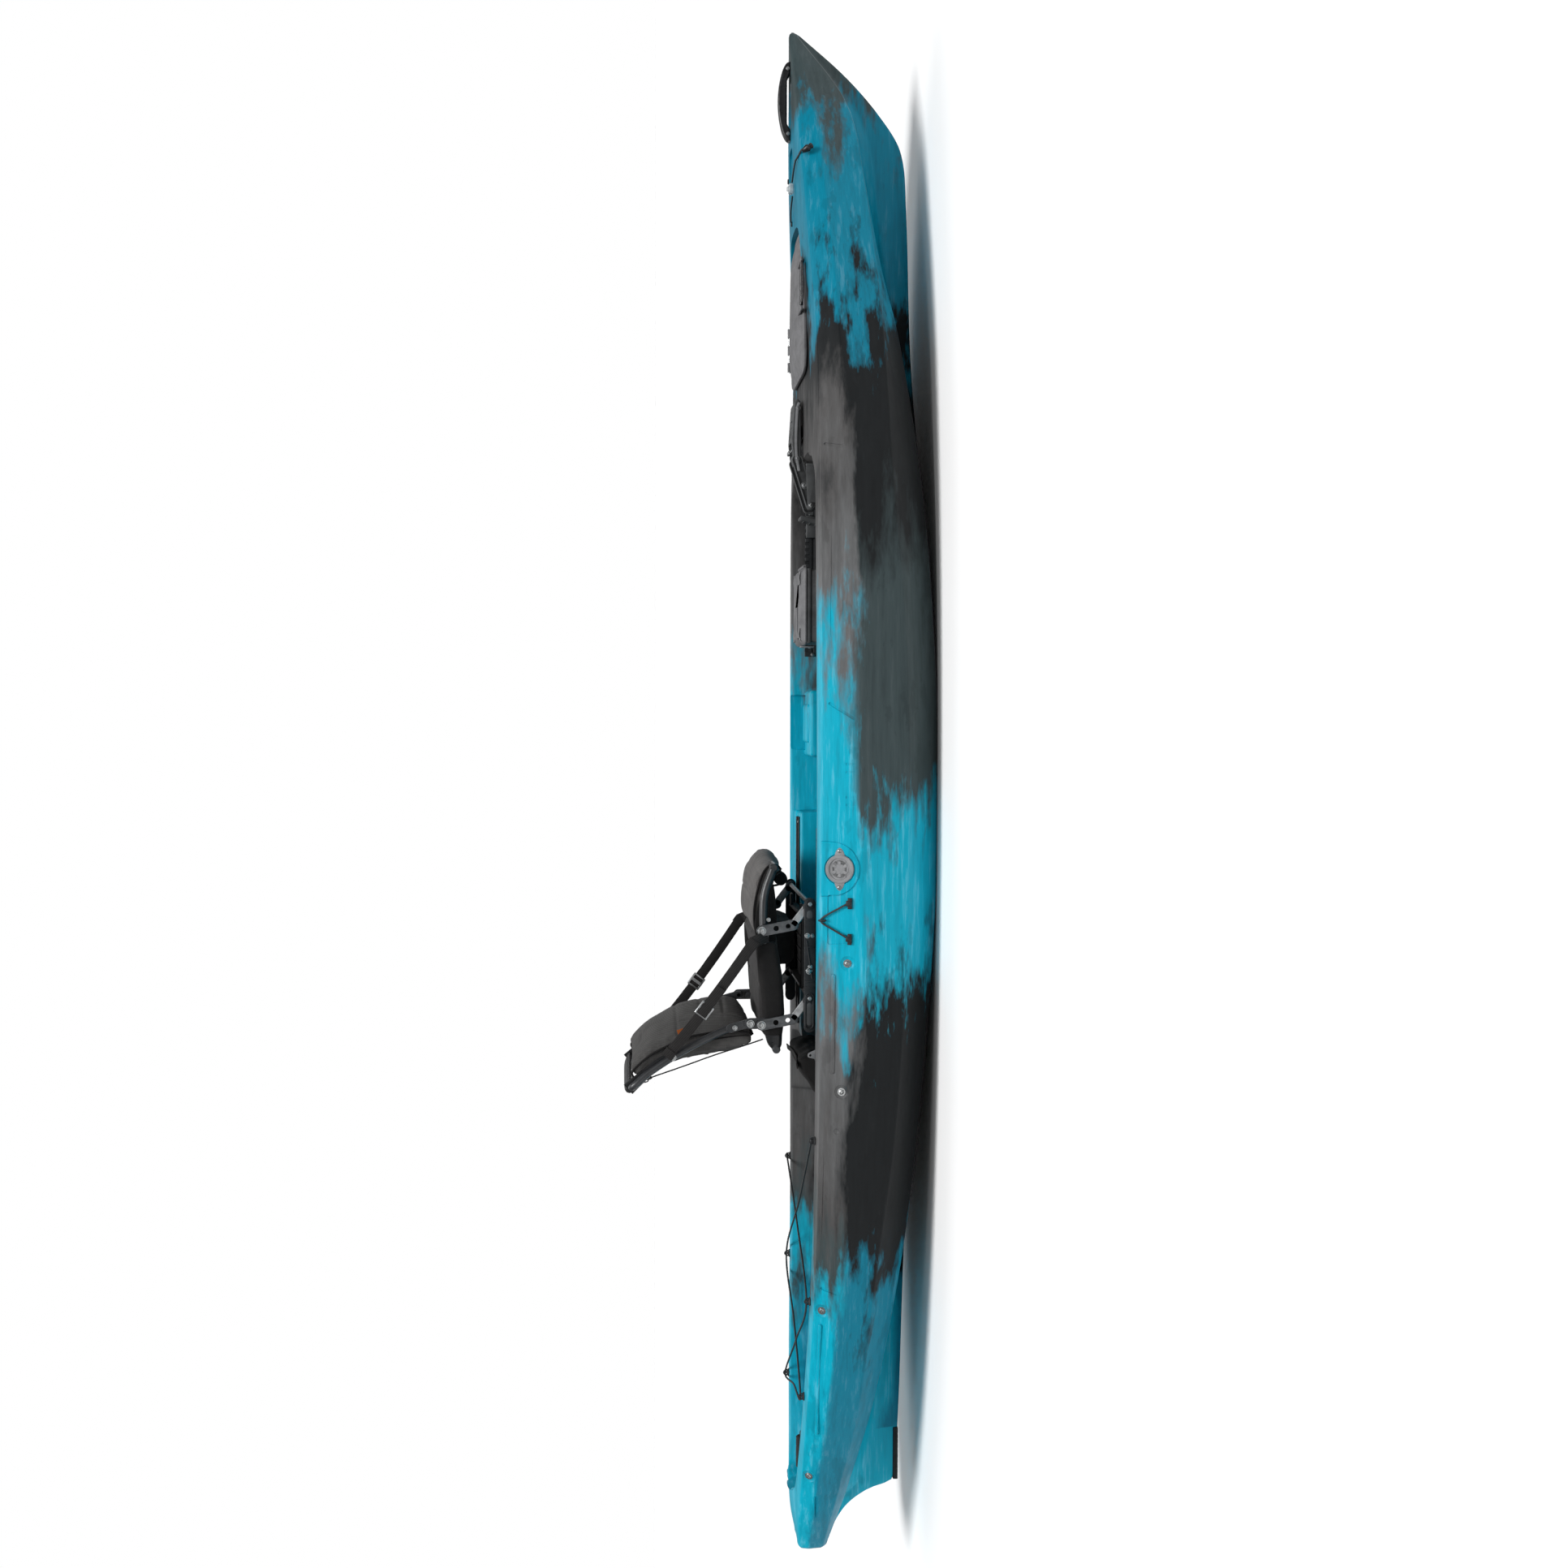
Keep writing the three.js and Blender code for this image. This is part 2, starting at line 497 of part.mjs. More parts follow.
const HINGE_ARM = { aft: 1190, fore: 1310, z0: 336, z1: 340 };
const EAR = { aft: 1282, fore: 1408, wide: 12, z0: 341, z1: 347 };
const lidSteps = [[0, SEAL_TOP + GAP, 337], [-14, 336.5, 343], [-42, 342.5, 349],
  [-74, 348.5, 354]];
add('hatch_lid', unite(
  ...lidSteps.map(([grow, z0, z1]) => slab(hatchOutline(grow), z0, z1)),
  box(HINGE_ARM.aft, HINGE_ARM.fore, 118, LID_HINGE.y, HINGE_ARM.z0, HINGE_ARM.z1),
  bar([HINGE_ARM.aft, LID_HINGE.y, LID_HINGE.z], [HINGE_ARM.fore, LID_HINGE.y, LID_HINGE.z], 5),
  ...[EAR.aft, EAR.fore].map(x =>
    box(x, x + EAR.wide, LATCH_PIVOT.y - 4, -90, EAR.z0, EAR.z1))), GREY);
const LEVER = { aft: EAR.aft + EAR.wide + 1, fore: EAR.fore - 1, out: -199 };
add('hatch_latch', unite(
  bar([LEVER.aft, LATCH_PIVOT.y, LATCH_PIVOT.z], [LEVER.fore, LATCH_PIVOT.y, LATCH_PIVOT.z], 4.5),
  box(LEVER.aft + 4, LEVER.fore - 4, LEVER.out, LATCH_PIVOT.y,
    LATCH_PIVOT.z - 3, LATCH_PIVOT.z + 2)),
BLACK);

// ---- yoke over the forward end of the cockpit ----------------------------------------------
const PIN = 5;
const HOLE = PIN + 0.4;
const EAR_Y = { inner: 48, outer: 56 };
const pivotHole = [[YOKE_PIVOT.x, YOKE_PIVOT.z, HOLE]];
const bracketEar = [[782, 292], [899, 285], [899, 318], [782, 312]];
add('yoke_bracket', unite(
  box(895, COCKPIT_END_X - GAP, -EAR_Y.outer, EAR_Y.outer, 268, 318),
  ...[1, -1].map(side => sidePlate(bracketEar, side, EAR_Y.inner, EAR_Y.outer, pivotHole))), GREY);
add('yoke_pin',
  bar([YOKE_PIVOT.x, -62, YOKE_PIVOT.z], [YOKE_PIVOT.x, 62, YOKE_PIVOT.z], PIN), METAL);
const yokeArm = strip([[YOKE_PIVOT.x, YOKE_PIVOT.z], [916, 342]], 20);
const yokeHead = [[908, 331], [902, 345], [924, 352], [965, 357], [1066, 350], [1079, 341],
  [1070, 331], [960, 329]];
add('yoke', unite(
  ...[1, -1].map(side => sidePlate(yokeArm, side, 35, EAR_Y.inner - 1, pivotHole)),
  plate(yokeHead, -EAR_Y.inner + 1, EAR_Y.inner - 1)
    .subtract(box(926, 962, -34, 34, 320, 370))), GREY);

// ---- drive pod cover in the footwell --------------------------------------------------------
add('pod_box', box(POD.aft, POD.fore, -POD.half, POD.half, POD.bottom, POD.rim)
  .subtract(box(POD.aft + 4, POD.fore - 4, -POD.half + 4, POD.half - 4, POD.bottom + 4, 400)), GREY);
const lidTop = POD.rim + GAP;
const podLidRing = (x, half, z) => [[x, -half, lidTop], [x, half, lidTop], [x, half - 18, z],
  [x, -half + 18, z]];
const podLid = loft([
  podLidRing(POD.aft - 6, POD.half + 4, lidTop + 5), podLidRing(POD.aft + 22, POD.half + 4, POD.top),
  podLidRing(POD.fore - 22, POD.half + 4, POD.top), podLidRing(POD.fore + 6, POD.half + 4, lidTop + 5),
]);
const POD_HINGE_Z = 322;
add('pod_lid', unite(podLid,
  bar([POD.hingeX, -70, POD_HINGE_Z], [POD.hingeX, 70, POD_HINGE_Z], 4.5)
    .intersect(box(POD.fore + 3, 700, -70, 70, 300, 340)),
  box(POD.fore + 2, POD.hingeX, -70, 70, POD_HINGE_Z - 3, POD_HINGE_Z + 2)), PALE);
add('pod_latch', box(POD.aft - 11, POD.aft - 6 - GAP, -16, 16, 290, 326), PALE);

// ---- seat ------------------------------------------------------------------------------------
const legLower = i => [LEG_LOWER.x - i * LEG_SPACING, LEG_LOWER.z];
const legTop = i => [legLower(i)[0] + LEG_VECTOR.x, LEG_LOWER.z + LEG_VECTOR.z];
const PLATE_Y = [RAIL_Y - 4, RAIL_Y + 4];            // carriage plates
const LEG_Y = [RAIL_Y - 13, RAIL_Y - 5];             // legs, just inside them
const TUBE_Y = 234;                                  // seat frame side tubes
const LUG_Y = [238, 245];
const BACK_TUBE_Y = 220;
const BACK_FOOT_Y = [228, 237];
const LEG_NAMES = ['front', 'rear'];

for (const [name, side] of SIDES) {
  const outline = strip([[-578, LEG_LOWER.z + 0.6], [-256, LEG_LOWER.z + 0.6]], 29);
  const holes = LEG_NAMES.map((_, i) => [...legLower(i), HOLE + 1]);
  add(`carriage_plate_${name}`, sidePlate(outline, side, ...PLATE_Y, holes), BLACK);
}
LEG_NAMES.forEach((which, i) => {
  const [x, z] = legLower(i);
  add(`carriage_axle_${which}`, bar([x, -RAIL_Y - 9, z], [x, RAIL_Y + 9, z], PIN + 1), METAL);
  for (const [name, side] of SIDES) {
    const knee = [x - 52, z + 44];
    const top = legTop(i);
    const holes = [[x, z, HOLE + 1], [...top, HOLE], [x - 58, z + 66, 5], [x - 63, z + 92, 5]];
    add(`${which}_leg_${name}`,
      sidePlate(strip([[x, z], knee, top], 22), side, ...LEG_Y, holes), METAL);
  }
});
add('under_seat_tray', unite(
  box(-490, -300, -170, 170, 313, 338),
  box(-496, -270, -150, -120, 330, 338), box(-496, -270, 120, 150, 330, 338))
  .subtract(box(-484, -306, -164, 164, 317, 400)), BLACK);

// The seat's frame: two side tubes, a bar at each end, and the lugs of the back's pivots.
const sideRoute = side => [[-640, 408], [-560, 424], [-450, 434], [-345, 441], [-240, 440],
  [-165, 416]].map(([x, z]) => [x, side * TUBE_Y, z]);
const sideTube = (side, radius) => solid(tube(sideRoute(side), radius, 24, 10));
const lug = [[-584, 432], [-556, 434], [-558, 482], [-566, 490], [-576, 490], [-584, 482]];
const framePieces = [1, -1].flatMap(side => {
  const stub = i => bar([...[legTop(i)[0]], side * 228, legTop(i)[1]],
    [legTop(i)[0], side * (RAIL_Y - 2), legTop(i)[1]], PIN);
  const stubLug = i => sidePlate(
    strip([[legTop(i)[0], legTop(i)[1] - 16], legTop(i)], 16), side, 228, 246);
  return [sideTube(side, FRAME_R), stub(0), stub(1), stubLug(0), stubLug(1),
    sidePlate(lug, side, ...LUG_Y, [[BACK_PIVOT.x, BACK_PIVOT.z, HOLE]])];
});
const crossBar = (x, z) => bar([x, -TUBE_Y, z], [x, TUBE_Y, z], FRAME_R, 10);
const HEIGHT_LEVER = [[-285, 432], [-245, 408], [-208, 398]];
const leverPin = bar([HEIGHT_LEVER[0][0], TUBE_Y, HEIGHT_LEVER[0][1]],
  [HEIGHT_LEVER[0][0], RAIL_Y + 5, HEIGHT_LEVER[0][1]], 4);
add('seat_frame', unite(...framePieces, leverPin, crossBar(-640, 408), crossBar(-165, 416)), TUBE);

const cushionOutline = [[-627, 437], [-404, 447], [-320, 469], [-232, 464], [-158, 450], [-122, 428],
  [-121, 408], [-138, 391], [-151, 391], [-151, 429], [-184, 429], [-240, 418], [-400, 405],
  [-600, 405], [-627, 420]];
add('seat_cushion', plate(cushionOutline, -210, 210), FABRIC);
for (const [name, side] of SIDES) {
  const outline = [[-600, 392], [-540, 387], [-362, 406], [-362, 462], [-450, 457], [-548, 448],
    [-550, 442], [-600, 436], [-610, 420]];
  add(`seat_bolster_${name}`, sidePlate(outline, side, 213, 247.5)
    .subtract(sideTube(side, FRAME_R + GAP))
    .subtract(sidePlate([[-620, 421], [-552, 421], [-552, 470], [-620, 470]], side, 226, 260)),
  WEBBING);
}
add('height_lever', sidePlate(strip(HEIGHT_LEVER, 16), 1, 259, 265, [[...HEIGHT_LEVER[0], 4.4]]),
  BLACK);

// The back: a bent tube frame with the cushion slung in it.
const backSide = side => [[-580, 512], [-600, 562], [-645, 652], [-700, 738], [-733, 776]]
  .map(([x, z]) => [x, side * BACK_TUBE_Y, z]);
const topBend = [[-742, 200, 785], [-745, 160, 789], [-745, 60, 789], [-745, -60, 789],
  [-745, -160, 789], [-742, -200, 785]];
const backRoute = [...backSide(1), ...topBend, ...backSide(-1).reverse()];
const footOutline = strip([[BACK_PIVOT.x, BACK_PIVOT.z], [-584, 528]], 22);
add('back_frame', unite(
  solid(tube(backRoute, 10, 56, 8)),
  ...[1, -1].flatMap(side => [
    sidePlate(footOutline, side, ...BACK_FOOT_Y),
    bar([BACK_PIVOT.x, side * BACK_FOOT_Y[0], BACK_PIVOT.z],
      [BACK_PIVOT.x, side * (LUG_Y[1] + 2), BACK_PIVOT.z], PIN)])), TUBE);
const backOutline = [[-725, 768], [-688, 786], [-630, 745], [-596, 701], [-566, 646], [-547, 547],
  [-553, 497], [-568, 470], [-589, 462], [-612, 470], [-625, 506], [-645, 603], [-668, 690],
  [-700, 742]];
add('back_cushion', plate(backOutline, -206, 206), FABRIC);

// Webbing from the seat's front to the back's top, with a buckle part way up.
function webbing(a, b, width, thick) {
  const from = new THREE.Vector3(...a);
  const along = new THREE.Vector3(...b).sub(from);
  const length = along.length();
  along.normalize();
  const flat = new THREE.Vector3(0, 1, 0).cross(along).normalize();
  const out = along.clone().cross(flat);
  const geometry = new THREE.BoxGeometry(length, width, thick);
  geometry.applyMatrix4(new THREE.Matrix4().makeBasis(along, flat, out));
  return solid(geometry.translate(...from.addScaledVector(along, length / 2).toArray()));
}
const STRAP = { low: [-356, 264, 470], high: [-652, 240, 690], width: 28, thick: 2.5, buckle: 0.6 };
for (const [name, side] of SIDES) {
  const end = ([x, y, z]) => new THREE.Vector3(x, side * y, z);
  const at = t => end(STRAP.low).lerp(end(STRAP.high), t).toArray();
  const strap = webbing(at(0), at(1), STRAP.width, STRAP.thick);
  const slot = webbing(at(0), at(1), STRAP.width + 1, STRAP.thick + 1);
  add(`back_strap_${name}`, strap, WEBBING);
  add(`strap_buckle_${name}`, webbing(at(STRAP.buckle - 0.05), at(STRAP.buckle + 0.05), 38, 9)
    .subtract(slot), METAL);
}
add('rear_cord', tube([[-768, 0, 778], [-740, 0, 680], [-700, 0, 560], [-668, 0, 460],
  [-655, 0, 418]], 2.5, 24), BLACK);

export default part;
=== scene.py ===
import math

import bmesh
import bpy
from mathutils import Matrix, Vector, geometry, noise


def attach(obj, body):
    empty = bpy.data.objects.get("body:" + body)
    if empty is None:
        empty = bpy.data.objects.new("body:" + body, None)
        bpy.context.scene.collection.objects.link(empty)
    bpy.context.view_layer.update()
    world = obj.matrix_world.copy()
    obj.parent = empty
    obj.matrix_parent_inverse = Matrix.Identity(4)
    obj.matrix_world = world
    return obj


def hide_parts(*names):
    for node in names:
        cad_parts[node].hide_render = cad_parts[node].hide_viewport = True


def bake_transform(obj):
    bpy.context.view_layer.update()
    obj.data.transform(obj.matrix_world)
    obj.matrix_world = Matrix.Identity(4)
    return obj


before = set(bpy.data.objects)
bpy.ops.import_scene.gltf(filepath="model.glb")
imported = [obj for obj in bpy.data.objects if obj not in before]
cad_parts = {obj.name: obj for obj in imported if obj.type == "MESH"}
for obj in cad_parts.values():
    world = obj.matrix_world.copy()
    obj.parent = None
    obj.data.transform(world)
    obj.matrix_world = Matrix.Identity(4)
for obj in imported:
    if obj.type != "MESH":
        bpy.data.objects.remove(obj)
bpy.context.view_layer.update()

# A rotomoulded sit-on-top fishing boat with a raised sling seat. Shapes are worked out in
# millimetres and become metres in show(). +X is the bow, +Y is port, +Z is up.
STERN, BOW = -2057.5, 2057.5
SIDES = (("starboard", -1), ("port", 1))


# ---- shaping helpers ------------------------------------------------------------------
def smooth_line(points):
    """A smooth value along x through (x, value) points."""
    def slope(i):
        a, b = points[max(i - 1, 0)], points[min(i + 1, len(points) - 1)]
        return (b[1] - a[1]) / (b[0] - a[0])

    def value(x):
        if x <= points[0][0]:
            return points[0][1]
        if x >= points[-1][0]:
            return points[-1][1]
        i = next(k for k, p in enumerate(points) if p[0] > x) - 1
        (x0, v0), (x1, v1) = points[i], points[i + 1]
        h = x1 - x0
        t = (x - x0) / h
        return (v0 * (1 + 2 * t) * (1 - t) ** 2 + v1 * t * t * (3 - 2 * t)
                + h * slope(i) * t * (1 - t) ** 2 + h * slope(i + 1) * t * t * (t - 1))
    return value


def rounded(points, radii, steps=4, splits=1, closed=False):
    """The points of a line with its corners rounded off, always the same number of them."""
    points = [Vector(p) for p in points]
    count = len(points)
    splits = [splits] * count if isinstance(splits, int) else splits
    corners = []
    for i, point in enumerate(points):
        if not closed and i in (0, count - 1):
            corners.append([point])
            continue
        before, after = points[i - 1], points[(i + 1) % count]
        radius = radii if isinstance(radii, (int, float)) else radii[i]
        a = point + (before - point) * min(0.45, radius / max((before - point).length, 1e-6))
        b = point + (after - point) * min(0.45, radius / max((after - point).length, 1e-6))
        corners.append([a.lerp(point, t).lerp(point.lerp(b, t), t)
                        for t in (k / steps for k in range(steps + 1))])
    line = []
    for i, corner in enumerate(corners):
        line += corner
        if closed or i < count - 1:
            nearest = corners[(i + 1) % count][0]
            line += [corner[-1].lerp(nearest, k / splits[i]) for k in range(1, splits[i])]
    return line


def curve(points, steps=8, closed=False):
    """A smooth route through points."""
    points = [Vector(p) for p in points]
    count = len(points)
    route = []
    for i in range(count if closed else count - 1):
        if closed:
            p = [points[(i + k) % count] for k in (-1, 0, 1, 2)]
        else:
            p = [points[max(i - 1, 0)], points[i], points[i + 1], points[min(i + 2, count - 1)]]
        for k in range(steps):
            t = k / steps
            route.append(0.5 * (2 * p[1] + (p[2] - p[0]) * t
                                + (2 * p[0] - 5 * p[1] + 4 * p[2] - p[3]) * t * t
                                + (3 * p[1] - 3 * p[2] + p[3] - p[0]) * t ** 3))
    return route if closed else route + [points[-1]]


def loft(rings, caps=True):
    """A skin through rings with the same number of points, wrapped from a flat grid."""
    bm = bmesh.new()
    around = len(rings[0])
    grid = bmesh.ops.create_grid(bm, x_segments=around, y_segments=len(rings) - 1, size=1)
    order = sorted(grid["verts"], key=lambda v: (round(v.co.y, 5), round(v.co.x, 5)))
    for i, vert in enumerate(order):
        row, column = divmod(i, around + 1)
        vert.co = rings[row][column % around]
    bmesh.ops.remove_doubles(bm, verts=bm.verts, dist=1e-3)
    if caps:
        bmesh.ops.holes_fill(bm, edges=[e for e in bm.edges if e.is_boundary], sides=0)
    bmesh.ops.dissolve_degenerate(bm, edges=bm.edges, dist=1e-4)
    bmesh.ops.recalc_face_normals(bm, faces=bm.faces)
    return bm


def circle(radius, sides=12):
    return [(radius * math.cos(2 * math.pi * k / sides), radius * math.sin(2 * math.pi * k / sides))
            for k in range(sides)]


def flat(width, thick, corner=0.6):
    """The section of a flat strap, with soft edges."""
    w, t = width / 2, thick / 2
    return rounded([(-w, -t), (w, -t), (w, t), (-w, t)], corner, 2, closed=True)


def sweep(path, section, across=None, closed=False, grow=None):
    """A section carried along a path. across keeps the section's width in one direction."""
    path = [Vector(p) for p in path]
    rings, side = [], None
    for i, point in enumerate(path):
        before = path[i - 1] if i or closed else point
        after = path[(i + 1) % len(path)] if closed or i < len(path) - 1 else point
        tangent = (after - before).normalized()
        if across is not None:
            side = Vector(across)
        elif side is None:
            side = tangent.orthogonal()
        side = (side - tangent * side.dot(tangent)).normalized()
        up = tangent.cross(side)
        size = grow(i / (len(path) - 1)) if grow else 1
        rings.append([point + (side * p[0] + up * p[1]) * size for p in section])
    return loft(rings + rings[:1], caps=False) if closed else loft(rings)


def soften(bm, width, segments=2, angle=30):
    """Rounds the edges that are sharper than an angle."""
    edges = [e for e in bm.edges if len(e.link_faces) == 2
             and e.calc_face_angle(0) > math.radians(angle)]
    bmesh.ops.bevel(bm, geom=edges, offset=width, offset_type="OFFSET", affect="EDGES",
                    segments=segments, profile=0.5, material=-1, clamp_overlap=True)
    return bm


def block(x0, x1, y0, y1, z0, z1, edge=1.0, segments=2):
    bm = bmesh.new()
    bmesh.ops.create_cube(bm, size=1)
    bmesh.ops.scale(bm, verts=bm.verts, vec=(x1 - x0, y1 - y0, z1 - z0))
    bmesh.ops.translate(bm, verts=bm.verts, vec=((x0 + x1) / 2, (y0 + y1) / 2, (z0 + z1) / 2))
    return soften(bm, edge, segments) if edge else bm


def prism(outline, low, high, up="y", edge=0.0, segments=2):
    """An outline pulled into a plate. Its points are (x, z) for up y, and (x, y) for up z."""
    bm = bmesh.new()
    put = (lambda a, b: (a, low, b)) if up == "y" else (lambda a, b: (a, b, low))
    face = bmesh.ops.contextual_create(
        bm, geom=[bm.verts.new(put(p[0], p[1])) for p in outline])["faces"]
    pulled = bmesh.ops.extrude_face_region(bm, geom=face)["geom"]
    step = (0, high - low, 0) if up == "y" else (0, 0, high - low)
    bmesh.ops.translate(bm, verts=[g for g in pulled if isinstance(g, bmesh.types.BMVert)],
                        vec=step)
    bmesh.ops.recalc_face_normals(bm, faces=bm.faces)
    if edge:
        rims = [e for e in bm.edges if len(e.link_faces) == 2
                and e.calc_face_angle(0) > math.radians(50)
                and abs((e.verts[0].co - e.verts[1].co).dot(Vector(step))) < 1e-6]
        bmesh.ops.bevel(bm, geom=rims, offset=edge, offset_type="OFFSET", affect="EDGES",
                        segments=segments, profile=0.5, material=-1, clamp_overlap=True)
    return bm


def turned(profile, centre=(0, 0, 0), axis=(0, 0, 1), sides=24):
    """A profile of (radius, height) points spun about an axis."""
    bm = bmesh.new()
    verts = [bm.verts.new((r, 0, z)) for r, z in profile]
    edges = [bm.edges.new(pair) for pair in zip(verts, verts[1:])]
    bmesh.ops.spin(bm, geom=verts + edges, cent=(0, 0, 0), axis=(0, 0, 1), angle=2 * math.pi,
                   steps=sides, use_merge=True)
    bmesh.ops.remove_doubles(bm, verts=bm.verts, dist=1e-3)
    bmesh.ops.recalc_face_normals(bm, faces=bm.faces)
    turn = Vector((0, 0, 1)).rotation_difference(Vector(axis)).to_matrix().to_4x4()
    bm.transform(Matrix.Translation(centre) @ turn)
    return bm


def together(*shapes):
    """Several shapes as one mesh."""
    whole = bmesh.new()
    for shape in shapes:
        mesh = bpy.data.meshes.new("part")
        shape.to_mesh(mesh)
        shape.free()
        whole.from_mesh(mesh)
        bpy.data.meshes.remove(mesh)
    return whole


def mirrored(bm):
    """The same shape on the other side of the boat."""
    bmesh.ops.scale(bm, verts=bm.verts, vec=(1, -1, 1))
    bmesh.ops.reverse_faces(bm, faces=bm.faces)
    return bm


def carve(base, *steps):
    """Each step is ("DIFFERENCE", shape) or ("UNION", shape), done in turn."""
    objects = []
    for shape in (base, *(shape for _, shape in steps)):
        mesh = bpy.data.meshes.new("carve")
        shape.to_mesh(mesh)
        shape.free()
        objects.append(bpy.data.objects.new("carve", mesh))
        bpy.context.scene.collection.objects.link(objects[-1])
    for (kind, _), tool in zip(steps, objects[1:]):
        cut = objects[0].modifiers.new("carve", "BOOLEAN")
        cut.operation, cut.object, cut.solver = kind, tool, "MANIFOLD"
    evaluated = objects[0].evaluated_get(bpy.context.evaluated_depsgraph_get())
    result = bmesh.new()
    result.from_mesh(evaluated.to_mesh())
    evaluated.to_mesh_clear()
    for each in objects:
        mesh = each.data
        bpy.data.objects.remove(each)
        bpy.data.meshes.remove(mesh)
    return result


def show(name, bm, material, body, stands_for=(), crease=32):
    """Makes a finished piece from a shape in millimetres, and rides it on its body; a piece that
    crosses a joint is only left where it is.
    """
    bm.transform(Matrix.Scale(0.001, 4))
    mesh = bpy.data.meshes.new(name)
    bm.to_mesh(mesh)
    bm.free()
    mesh.materials.append(material)
    for polygon in mesh.polygons:
        polygon.use_smooth = True
    mesh.set_sharp_from_angle(angle=math.radians(crease))
    piece = bpy.data.objects.new(name, mesh)
    bpy.context.scene.collection.objects.link(piece)
    if isinstance(body, str):
        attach(piece, body)
    else:                                # (body, start, other body, end): it crosses a joint
        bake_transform(piece)
    if stands_for:
        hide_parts(*stands_for)
    return piece


# ---- finishes ---------------------------------------------------------------------------
def linear(code):
    """An sRGB hex value as linear RGBA."""
    parts = [int(code[k:k + 2], 16) / 255 for k in (1, 3, 5)]
    return (*(p / 12.92 if p <= 0.04045 else ((p + 0.055) / 1.055) ** 2.4 for p in parts), 1)


def add_node(material, kind, inputs=(), **settings):
    """Adds a node. An input is a value, or a link from another node's socket."""
    node = material.node_tree.nodes.new(kind)
    for name, value in settings.items():
        setattr(node, name, value)
    for name, value in dict(inputs).items():
        if isinstance(value, bpy.types.NodeSocket):
            material.node_tree.links.new(value, node.inputs[name])
        else:
            node.inputs[name].default_value = value
    return node


def finish(name, **sockets):
    """A new material, its shader, and its Object coordinates in metres."""
    material = bpy.data.materials.new(name)
    material.use_nodes = True
    shader = material.node_tree.nodes["Principled BSDF"]
    for socket, value in sockets.items():
        shader.inputs[socket.replace("_", " ")].default_value = value
    place = add_node(material, "ShaderNodeTexCoord").outputs["Object"]
    return material, shader, place


def join(material, source, shader, socket):
    material.node_tree.links.new(source, shader.inputs[socket])


def stretched(material, place, scale=(1, 1, 1), turn=(0, 0, 0)):
    return add_node(material, "ShaderNodeMapping",
                    {"Vector": place, "Scale": scale, "Rotation": turn}).outputs["Vector"]


def speckle(material, place, size_mm, detail=3, rough=0.5):
    """Noise whose grains are about size_mm across, in metres' coordinates."""
    return add_node(material, "ShaderNodeTexNoise", {
        "Vector": place, "Scale": 1000 / size_mm, "Detail": detail, "Roughness": rough,
    }).outputs["Fac"]


def ramp(material, factor, *stops):
    """Colours or greys along a factor, from (place, hex) stops."""
    node = add_node(material, "ShaderNodeValToRGB", {"Fac": factor})
    elements = node.color_ramp.elements
    while len(elements) < len(stops):
        elements.new(0.5)
    for element, (place, code) in zip(elements, stops):
        element.position, element.color = place, linear(code)
    return node.outputs["Color"]


def spread(material, factor, low, high, to_low=0.0, to_high=1.0):
    return add_node(material, "ShaderNodeMapRange", {
        "Value": factor, "From Min": low, "From Max": high,
        "To Min": to_low, "To Max": to_high}).outputs["Result"]


def mix(material, factor, a, b):
    node = add_node(material, "ShaderNodeMix", data_type="RGBA")
    for index, value in ((0, factor), (6, a), (7, b)):
        if isinstance(value, bpy.types.NodeSocket):
            material.node_tree.links.new(value, node.inputs[index])
        else:
            node.inputs[index].default_value = value
    return node.outputs[2]


def bumped(material, shader, height, strength, distance_mm):
    bump = add_node(material, "ShaderNodeBump", {
        "Height": height, "Strength": strength, "Distance": distance_mm / 1000})
    join(material, bump.outputs["Normal"], shader, "Normal")


def math_node(material, operation, a, b=0.0):
    node = add_node(material, "ShaderNodeMath", operation=operation)
    for index, value in ((0, a), (1, b)):
        if isinstance(value, bpy.types.NodeSocket):
            material.node_tree.links.new(value, node.inputs[index])
        else:
            node.inputs[index].default_value = value
    return node.outputs[0]


